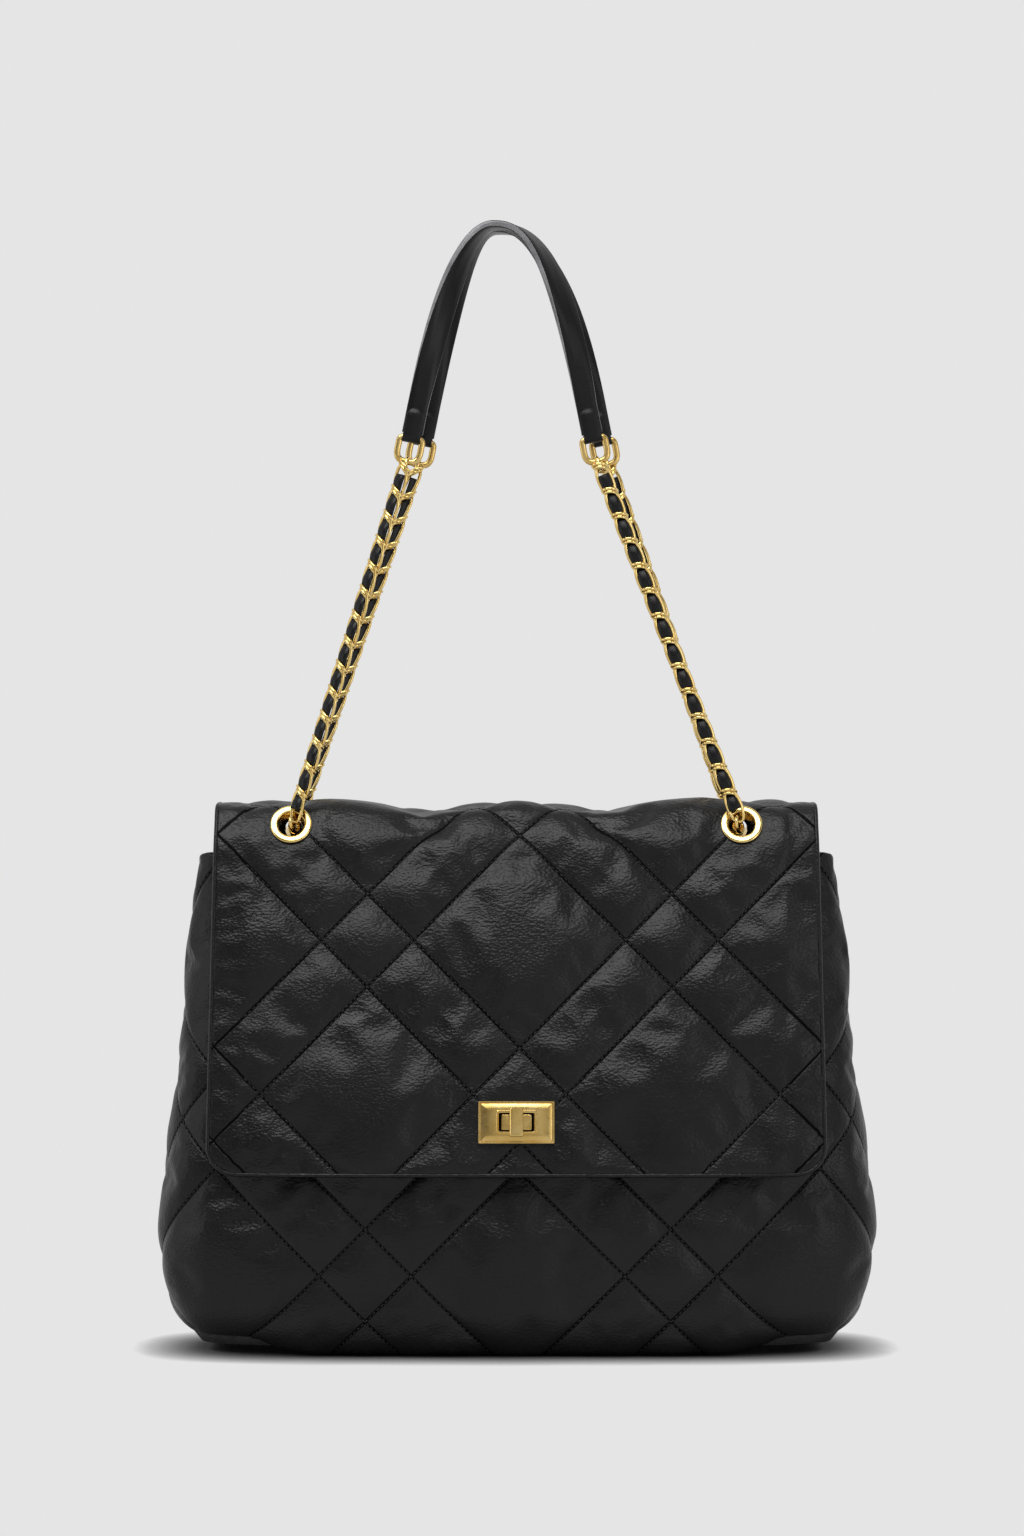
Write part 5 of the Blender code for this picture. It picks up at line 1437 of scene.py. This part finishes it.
class BAG_OT_lock(bpy.types.Operator):
    """Makes the turn lock: bevelled frame, block, knob and what holds them"""
    bl_idname = "bag.lock"
    bl_label = "Turn Lock"

    def execute(self, context):
        low = LOCK_FACE + SEAM_GAP
        top = low + 0.0026
        frame_plate = lofted("lock_frame_bevelled", LOCK, (
            (LOCK_PLATE_HALF_WIDTH, LOCK_PLATE_HALF_TALL, 0.0005, low),
            (LOCK_PLATE_HALF_WIDTH, LOCK_PLATE_HALF_TALL, 0.0005, low + 0.0018),
            (0.0195, 0.0107, 0.0004, low + 0.0020), (0.0190, 0.0102, 0.0003, low + 0.0020),
            (0.0188, 0.0100, 0.0003, low + 0.0015), (0.0185, 0.0097, 0.0003, low + 0.0015),
            (0.0184, 0.0096, 0.0003, low + 0.0018), (0.0163, 0.0075, 0.0003, top),
            (0.0106, 0.0063, 0.0014, top), (0.0105, 0.0062, 0.0014, top + 0.0004),
            (0.0102, 0.0059, 0.0013, top + 0.0006), (0.0096, 0.0053, 0.0009, top + 0.0006),
            (0.0092, 0.0049, 0.0006, top + 0.0003), (0.0091, 0.0048, 0.0005, low)), "brushed_gold", True)
        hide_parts("lock_frame")
        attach(frame_plate, "flap")
        block_top = top - 0.0002
        post = lofted("lock_block", LOCK, (
            (0.016, 0.00825, 0.001, SEAM_GAP), (0.016, 0.00825, 0.001, 0.0014),
            (0.008, 0.0041, 0.0006, 0.0014), (0.008, 0.0041, 0.0006, block_top - 0.0005),
            (0.0078, 0.0039, 0.0006, block_top - 0.0001), (0.0075, 0.0036, 0.0006, block_top)),
            "brushed_gold", False)
        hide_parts("lock_post")
        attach(post, "root")
        low = block_top + 0.0009
        knob = lofted("lock_knob_bar", LOCK, (
            (0.0034, 0.0074, 0.0007, low), (0.0036, 0.0076, 0.0009, low + 0.0003),
            (0.0036, 0.0076, 0.0009, low + 0.0022), (0.0034, 0.0074, 0.0009, low + 0.0027),
            (0.0029, 0.0070, 0.0009, low + 0.0031), (0.0016, 0.0056, 0.0006, low + 0.0032)),
            "brushed_gold", False)
        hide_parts("turn_knob")
        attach(knob, "knob")
        for node in ("knob_spindle", "spindle_head", "lock_inner_washer", "lock_back_plate"):
            paint_node(node, "brushed_gold")
        return {"FINISHED"}


def paint_node(node, finish):
    """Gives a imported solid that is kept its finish."""
    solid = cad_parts[node]
    for place in solid.material_slots:
        place.material = finish_of(finish)


# Chains

def strap_point(end, share):
    """A place on a strap's arch, at a share from its left end, -1, to its right end, 1."""
    towards = -1 if end == "front" else 1
    centre = STRAP_CENTRE_X + STRAP_APEX_SHIFT * (1 - abs(share)) ** 2
    centre += towards * STRAP_END_SHIFT * share * share
    y = towards * (STRAP_TOP_Y + (STRAP_END_Y - STRAP_TOP_Y) * share * share)
    return Vector((centre + STRAP_HALF_SPAN * share, y, STRAP_TOP - STRAP_DROP * abs(share) ** STRAP_POWER))


def end_up(side):
    """The way up a strap's straight end."""
    return Vector((-side * STRAP_HALF_SPAN / (STRAP_POWER * STRAP_DROP), 0, 1)).normalized()


def strap_end(end, side):
    """The tip of a strap."""
    return strap_point(end, side) - end_up(side) * STRAP_STRAIGHT


def ring_top(end, side):
    """The middle of the wire at the top of a D ring."""
    return strap_end(end, side) - end_up(side) * (RING_WIRE + RING_TOP_GAP)


def ring_bottom(end, side):
    """The middle of the wire at the bottom of a D ring."""
    return ring_top(end, side) - end_up(side) * RING_SPAN


def ring_contact(end, side):
    """Where the end link lies in its D ring."""
    return ring_bottom(end, side) + end_up(side) * (RING_WIRE + LINK_GAP / 2)


def chain_mouth(end, side):
    """Where a run of chain leaves its eyelet."""
    inwards, up = (-side * 0.0014, 0.0014) if end == "front" else (0, -0.0014)
    return eyelet_matrix(end, side) @ Vector((inwards, up, 0.0042))


def link_shape(pitch, lean, settings):
    """A long link that dives behind its lower neighbour, and the ring that binds the two."""
    half_long = pitch / 2 + settings.wire * 1.6
    half_wide = settings.link_width / 2 - settings.wire
    link, upper, lower = [], [], []
    for step in range(16):
        angle = 2 * pi * step / 16
        along = sin(angle)
        across = signed_power(cos(angle), 0.7)
        link.append(Vector((half_wide * across, LINK_DIVE * along, half_long * along)))
        place = pitch / 2 + BINDING_RISE * along + half_wide * cos(angle) * lean
        upper.append(Vector((half_wide * cos(angle), UPPER_BINDING * along, place + settings.wire)))
        lower.append(Vector((half_wide * 0.8 * cos(angle), LOWER_BINDING * along,
                             place - settings.wire * 0.9)))
    mesh = ring_tube("link_shape", *(wire_rings(points, settings.wire, 1.0, 6)
                                     for points in (link, upper, lower)))
    link = bpy.data.objects.new("link_shape", mesh)
    bpy.context.scene.collection.objects.link(link)
    return link


def make_chain(name, path, count, facing, lean, settings, node, body):
    """A run of links along a path, all turned to one side."""
    lengths = run_lengths(path)
    pitch = lengths[-1] / count
    spots = [at_length(path, lengths, pitch * (k + 0.5)) for k in range(count)]
    link = link_shape(pitch, lean, settings)
    piece = grow(name, bpy.data.node_groups["chain_links"], [spots], {
        "Link": link, "Count": count, "Facing": facing, "Material": finish_of("polished")})
    bpy.data.objects.remove(link)
    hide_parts(node)
    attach(piece, body)


def make_end_link(name, top, low, settings, body):
    """The plain link that joins a run of chain to its ring, seen edge on."""
    up = (top - low).normalized()
    half = (top - low).length / 2 + settings.wire
    points = oval((top + low) / 2, Vector((0, END_LINK_HALF_WIDTH, 0)), up * half, 20)
    piece = new_piece(name, ring_tube(name, wire_rings(points, settings.wire, 1.2, 8)), "polished")
    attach(piece, body)


def make_lace(name, start, end, facing, settings, node, body):
    """A leather lace that stands out between the rings and is drawn in under each."""
    along = (end - start).normalized()
    across = along.cross(facing).normalized()
    out = across.cross(along).normalized()
    steps = STRAND_UNITS * 14
    rings = []
    for index in range(5, steps - 3):
        part = index / steps
        free = ((1 - cos(2 * pi * part * STRAND_UNITS)) / 2) ** 0.4
        middle = start.lerp(end, part) + out * (LACE_OUT * free - LACE_IN)
        half = settings.lace_width / 2 * (LACE_DRAWN + (1 - LACE_DRAWN) * free)
        thick = LACE_THIN + LACE_SWELL * free
        rings.append([middle + across * (half * cos(turn)) + out * (thick * signed_power(sin(turn), 0.7))
                      for turn in (2 * pi * s / 10 for s in range(10))])
    piece = new_piece(name, capped_tube(name, rings), "strap_leather")
    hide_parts(node)
    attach(piece, body)


class BAG_OT_chains(bpy.types.Operator):
    """Makes the laced chain runs and the runs inside the saddle"""
    bl_idname = "bag.chains"
    bl_label = "Chains"

    def execute(self, context):
        settings = context.scene.bag_metal
        for end in ENDS:
            towards = -1 if end == "front" else 1
            for hand, side in SIDES:
                facing = Vector((sin(CHAIN_TURN[hand]), cos(CHAIN_TURN[hand]), 0)) * towards
                start, top = chain_mouth(end, side), ring_contact(end, side)
                last = top - (top - start).normalized() * END_LINK_DROP
                body = f"{end}_chains"
                make_chain(f"{end}_{hand}_links", [start, last], STRAND_UNITS, facing, CHAIN_LEAN[hand],
                           settings, f"{end}_{hand}_chain", body)
                make_end_link(f"{end}_{hand}_end_link", top, last, settings, body)
                make_lace(f"{end}_{hand}_leather_lace", start, last, facing, settings,
                          f"{end}_{hand}_lace", body)
        for hand, side in SIDES:
            front, rear = chain_mouth("front", side), chain_mouth("rear", side)
            near = front.lerp(rear, (-SADDLE_CHAIN_BEND_Y - front.y) / (rear.y - front.y))
            far = front.lerp(rear, (SADDLE_CHAIN_BEND_Y - front.y) / (rear.y - front.y))
            middle = (front + rear) / 2
            near.z = far.z = SADDLE_CHAIN_HEIGHT
            middle.z = SADDLE_CHAIN_LOW
            make_chain(f"saddle_{hand}_links", [front, near, middle, far, rear], INNER_UNITS,
                       Vector((1, 0, 0)), CHAIN_LEAN["right"], settings, f"saddle_{hand}_chain", "flap")
        return {"FINISHED"}


# Leather straps

def strap_sections(end):
    """Centre, half width direction and thickness direction of each section of a strap."""
    shares = [-1 + 2 * step / 72 for step in range(73)]
    low, high = strap_end(end, -1), strap_end(end, 1)
    path = [low + (strap_point(end, -1) - low) * (k / 8) for k in range(8)]
    path += [strap_point(end, share) for share in shares]
    path += [strap_point(end, 1) + (high - strap_point(end, 1)) * (k / 8) for k in range(1, 9)]
    turns = [1] * 8 + [abs(share) ** 1.5 for share in shares] + [1] * 8
    sections = []
    for index, (spot, turn) in enumerate(zip(path, turns)):
        before, after = path[max(index - 1, 0)], path[min(index + 1, len(path) - 1)]
        along = (after - before).normalized()
        flat = (Vector((0, 1, 0)) - along * along.y).normalized()
        side = flat.cross(along)
        sign = 1 if index < len(path) / 2 else -1
        angle = turn * pi / 2
        wide = flat * cos(angle) + side * (sign * sin(angle))
        sections.append((spot, wide, along.cross(wide).normalized(), turn))
    return sections


def make_strap(end):
    """A strap with painted edges, flat to the ground at its top and turned at its ends."""
    quarter = ((1, 0.45), (0.97, 0.8), (0.9, 1), (0.3, 1.04))
    upper = quarter + tuple((-x, y) for x, y in reversed(quarter))
    outline = upper + tuple((-x, -y) for x, y in upper)
    rings = []
    for spot, wide, thick, turn in strap_sections(end):
        half = (STRAP_MIDDLE_WIDTH + (STRAP_END_WIDTH - STRAP_MIDDLE_WIDTH) * turn) / 2
        rings.append([spot + wide * (half * x) + thick * (STRAP_HALF_WALL * y) for x, y in outline])
    name = f"{end}_leather_strap"
    piece = new_piece(name, capped_tube(name, rings), "strap_leather", "edge")
    painted = [place for place, (x, _) in enumerate(outline) if abs(x) > 0.95]
    for face in piece.data.polygons:
        if len(face.vertices) == 4 and all(v % len(outline) in painted for v in face.vertices):
            face.material_index = 1
    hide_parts(f"{end}_strap")
    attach(piece, f"{end}_strap_set")


def make_ring(end, hand, side):
    """A D ring of flat wire, straight where its tab holds it."""
    up = end_up(side)
    across = Vector((0, 1, 0)).cross(up)
    middle = (ring_bottom(end, side) + ring_top(end, side)) / 2
    points = []
    for step in range(48):
        angle = 2 * pi * step / 48
        power = 0.28 if sin(angle) > 0 else 0.75
        points.append(middle + across * (RING_HALF_WIDTH * 0.82 * signed_power(cos(angle), 0.62))
                      + up * (RING_SPAN / 2 * signed_power(sin(angle), power)))
    name = f"{end}_{hand}_d_ring"
    piece = new_piece(name, ring_tube(name, wire_rings(points, RING_WIRE * 1.5, 0.68, 14)), "brushed_gold")
    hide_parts(f"{end}_{hand}_ring")
    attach(piece, f"{end}_strap_set")


def make_tab(end, hand, side):
    """A tab folded round the ring, its free end rounded, lying on both faces."""
    up = end_up(side)
    across = Vector((0, 1, 0)).cross(up)
    out = Vector((0, 1, 0))
    inner = STRAP_HALF_WALL + 0.0005
    centre = ring_top(end, side) + up * (inner - RING_WIRE - SEAM_GAP)
    leg = (strap_end(end, side) + up * TAB_LENGTH - centre).dot(up)
    path = [(leg * (1 - k / 8), 1) for k in range(9)]
    path += [(-inner * sin(pi * k / 10), cos(pi * k / 10)) for k in range(1, 10)]
    path += [(leg * k / 8, -1) for k in range(9)]
    rings = []
    for rise, face in path:
        spot = centre + up * rise + out * (inner * face)
        normal = (out * face + up * (min(rise, 0) / inner)).normalized()
        tip = min(max(0.0, rise - (leg - TAB_HALF_WIDTH)), TAB_HALF_WIDTH - 0.0001)
        half = max((TAB_HALF_WIDTH ** 2 - tip ** 2) ** 0.5, TAB_HALF_WIDTH / 4)
        rings.append([spot + across * (half * x) + normal * (TAB_WALL * y) for x, y in (
            (1, 0.15), (1, 0.75), (0.9, 1), (-0.9, 1), (-1, 0.75), (-1, 0.15), (-0.95, 0), (0.95, 0))])
    name = f"{end}_{hand}_leather_tab"
    piece = new_piece(name, capped_tube(name, rings), "strap_leather")
    sharpen(piece, 60)
    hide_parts(f"{end}_{hand}_tab")
    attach(piece, f"{end}_strap_set")


class BAG_OT_straps(bpy.types.Operator):
    """Makes the leather straps with their rings and tabs"""
    bl_idname = "bag.straps"
    bl_label = "Leather Straps"

    def execute(self, context):
        for end in ENDS:
            make_strap(end)
            for hand, side in SIDES:
                make_ring(end, hand, side)
                make_tab(end, hand, side)
        return {"FINISHED"}


# Stage

def shown_rays(tree):
    """1 for rays that show the background: to the camera, off metal and through glass."""
    path = add_node(tree, "ShaderNodeLightPath").outputs
    first = add_node(tree, "ShaderNodeMath", {0: path["Is Camera Ray"], 1: path["Is Transmission Ray"]},
                     operation="MAXIMUM")
    return add_node(tree, "ShaderNodeMath", {0: first.outputs["Value"], 1: path["Is Glossy Ray"]},
                    operation="MAXIMUM").outputs["Value"]


def backdrop_finish(colour):
    """Matt paper of one even colour to the camera, with a painted contact shadow close to what stands on it.
    """
    material = bpy.data.materials.new("backdrop_paper_matt")
    material.use_nodes = True
    tree = material.node_tree
    tree.nodes.clear()
    paper = add_node(tree, "ShaderNodeBsdfDiffuse", {"Color": (*colour, 1)})
    # Painted shadow: ambient occlusion near the bag dims the glow that the camera sees
    open_sky = add_node(tree, "ShaderNodeAmbientOcclusion", {"Distance": SHADOW_REACH}, samples=12)
    shade = add_node(tree, "ShaderNodeMath", {0: open_sky.outputs["AO"], 1: 2.2}, operation="POWER")
    glow = add_node(tree, "ShaderNodeEmission", {"Color": (*colour, 1), "Strength": shade.outputs["Value"]})
    both = add_node(tree, "ShaderNodeMixShader", {
        0: shown_rays(tree), 1: paper.outputs["BSDF"], 2: glow.outputs["Emission"]})
    add_node(tree, "ShaderNodeOutputMaterial", {"Surface": both.outputs["Shader"]})
    return material


def add_lamp(name, place, aim, size, power):
    """A soft rectangular lamp that looks at its aim."""
    data = bpy.data.lights.new(name, "AREA")
    data.shape = "RECTANGLE"
    data.size, data.size_y = size
    data.energy = power
    lamp = bpy.data.objects.new(name, data)
    lamp.location = place
    lamp.rotation_euler = (Vector(aim) - Vector(place)).to_track_quat("-Z", "Y").to_euler()
    bpy.context.scene.collection.objects.link(lamp)


class BAG_OT_stage(bpy.types.Operator):
    """Makes the floor, the light and the camera"""
    bl_idname = "bag.stage"
    bl_label = "Stage"

    def execute(self, context):
        settings = context.scene.bag_stage
        colour = tuple(settings.backdrop)
        shape = bmesh.new()
        bmesh.ops.create_grid(shape, x_segments=1, y_segments=1, size=FLOOR_HALF)
        floor = bpy.data.objects.new("studio_floor", to_mesh("studio_floor", shape))
        context.scene.collection.objects.link(floor)
        floor.data.materials.append(backdrop_finish(colour))
        world = context.scene.world or bpy.data.worlds.new("studio")
        context.scene.world = world
        world.use_nodes = True
        tree = world.node_tree
        tree.nodes.clear()
        light = add_node(tree, "ShaderNodeBackground", {"Color": (1, 1, 1, 1), "Strength": WORLD_LIGHT})
        place = add_node(tree, "ShaderNodeSeparateXYZ", {
            "Vector": add_node(tree, "ShaderNodeTexCoord").outputs["Object"]})
        behind = add_node(tree, "ShaderNodeMapRange", {
            "Value": place.outputs["Y"], "From Min": -0.6, "From Max": 0.1,
            "To Min": WORLD_FRONT_VIEW, "To Max": 1.0})
        view = add_node(tree, "ShaderNodeBackground", {
            "Color": (*colour, 1), "Strength": behind.outputs["Result"]})
        both = add_node(tree, "ShaderNodeMixShader", {
            0: shown_rays(tree), 1: light.outputs["Background"], 2: view.outputs["Background"]})
        add_node(tree, "ShaderNodeOutputWorld", {"Surface": both.outputs["Shader"]})
        powers = {"key": settings.key, "front": settings.front,
                  "left": settings.fill * 0.5, "right": settings.fill}
        for name, power in powers.items():
            add_lamp(f"{name}_softbox", *LAMPS[name], power)
        data = bpy.data.cameras.new("camera")
        data.sensor_width, data.lens = CAMERA_SENSOR, CAMERA_LENS
        camera = bpy.data.objects.new("camera", data)
        camera.location = CAMERA_PLACE
        camera.rotation_euler = (pi / 2, 0, 0)
        context.scene.collection.objects.link(camera)
        context.scene.camera = camera
        context.scene.view_settings.view_transform = "Standard"
        return {"FINISHED"}


class BAG_PT_sidebar(bpy.types.Panel):
    """Lists the settings and the operators in the 3D view's sidebar"""
    bl_idname = "BAG_PT_sidebar"
    bl_label = "Quilted Shoulder Bag"
    bl_space_type = "VIEW_3D"
    bl_region_type = "UI"
    bl_category = "Bag"

    def draw(self, context):
        for group in (context.scene.bag_quilt, context.scene.bag_stitch,
                      context.scene.bag_metal, context.scene.bag_stage):
            box = self.layout.box()
            for name in group.__annotations__:
                box.prop(group, name)
        for operator in OPERATORS:
            self.layout.operator(operator.bl_idname)


GROUPS = {"bag_quilt": QuiltSettings, "bag_stitch": StitchSettings, "bag_metal": MetalSettings,
          "bag_stage": StageSettings}
OPERATORS = (BAG_OT_stage, BAG_OT_panels, BAG_OT_base, BAG_OT_lining, BAG_OT_flap, BAG_OT_eyelets,
             BAG_OT_lock, BAG_OT_chains, BAG_OT_straps)


def register():
    """Registers the classes and gives the scene their settings."""
    for item in (*GROUPS.values(), *OPERATORS, BAG_PT_sidebar):
        bpy.utils.register_class(item)
    for name, group in GROUPS.items():
        setattr(bpy.types.Scene, name, PointerProperty(type=group))


def unregister():
    """Takes the settings and the classes out again."""
    for name in GROUPS:
        delattr(bpy.types.Scene, name)
    for item in (BAG_PT_sidebar, *reversed(OPERATORS), *GROUPS.values()):
        bpy.utils.unregister_class(item)


def main():
    """Makes the bag and its stage."""
    register()
    stitch_tree()
    chain_tree()
    teeth_tree()
    bpy.ops.bag.stage()
    bpy.ops.bag.panels()
    bpy.ops.bag.base()
    bpy.ops.bag.lining()
    bpy.ops.bag.flap()
    bpy.ops.bag.eyelets()
    bpy.ops.bag.lock()
    bpy.ops.bag.chains()
    bpy.ops.bag.straps()


if __name__ == "__main__":
    main()
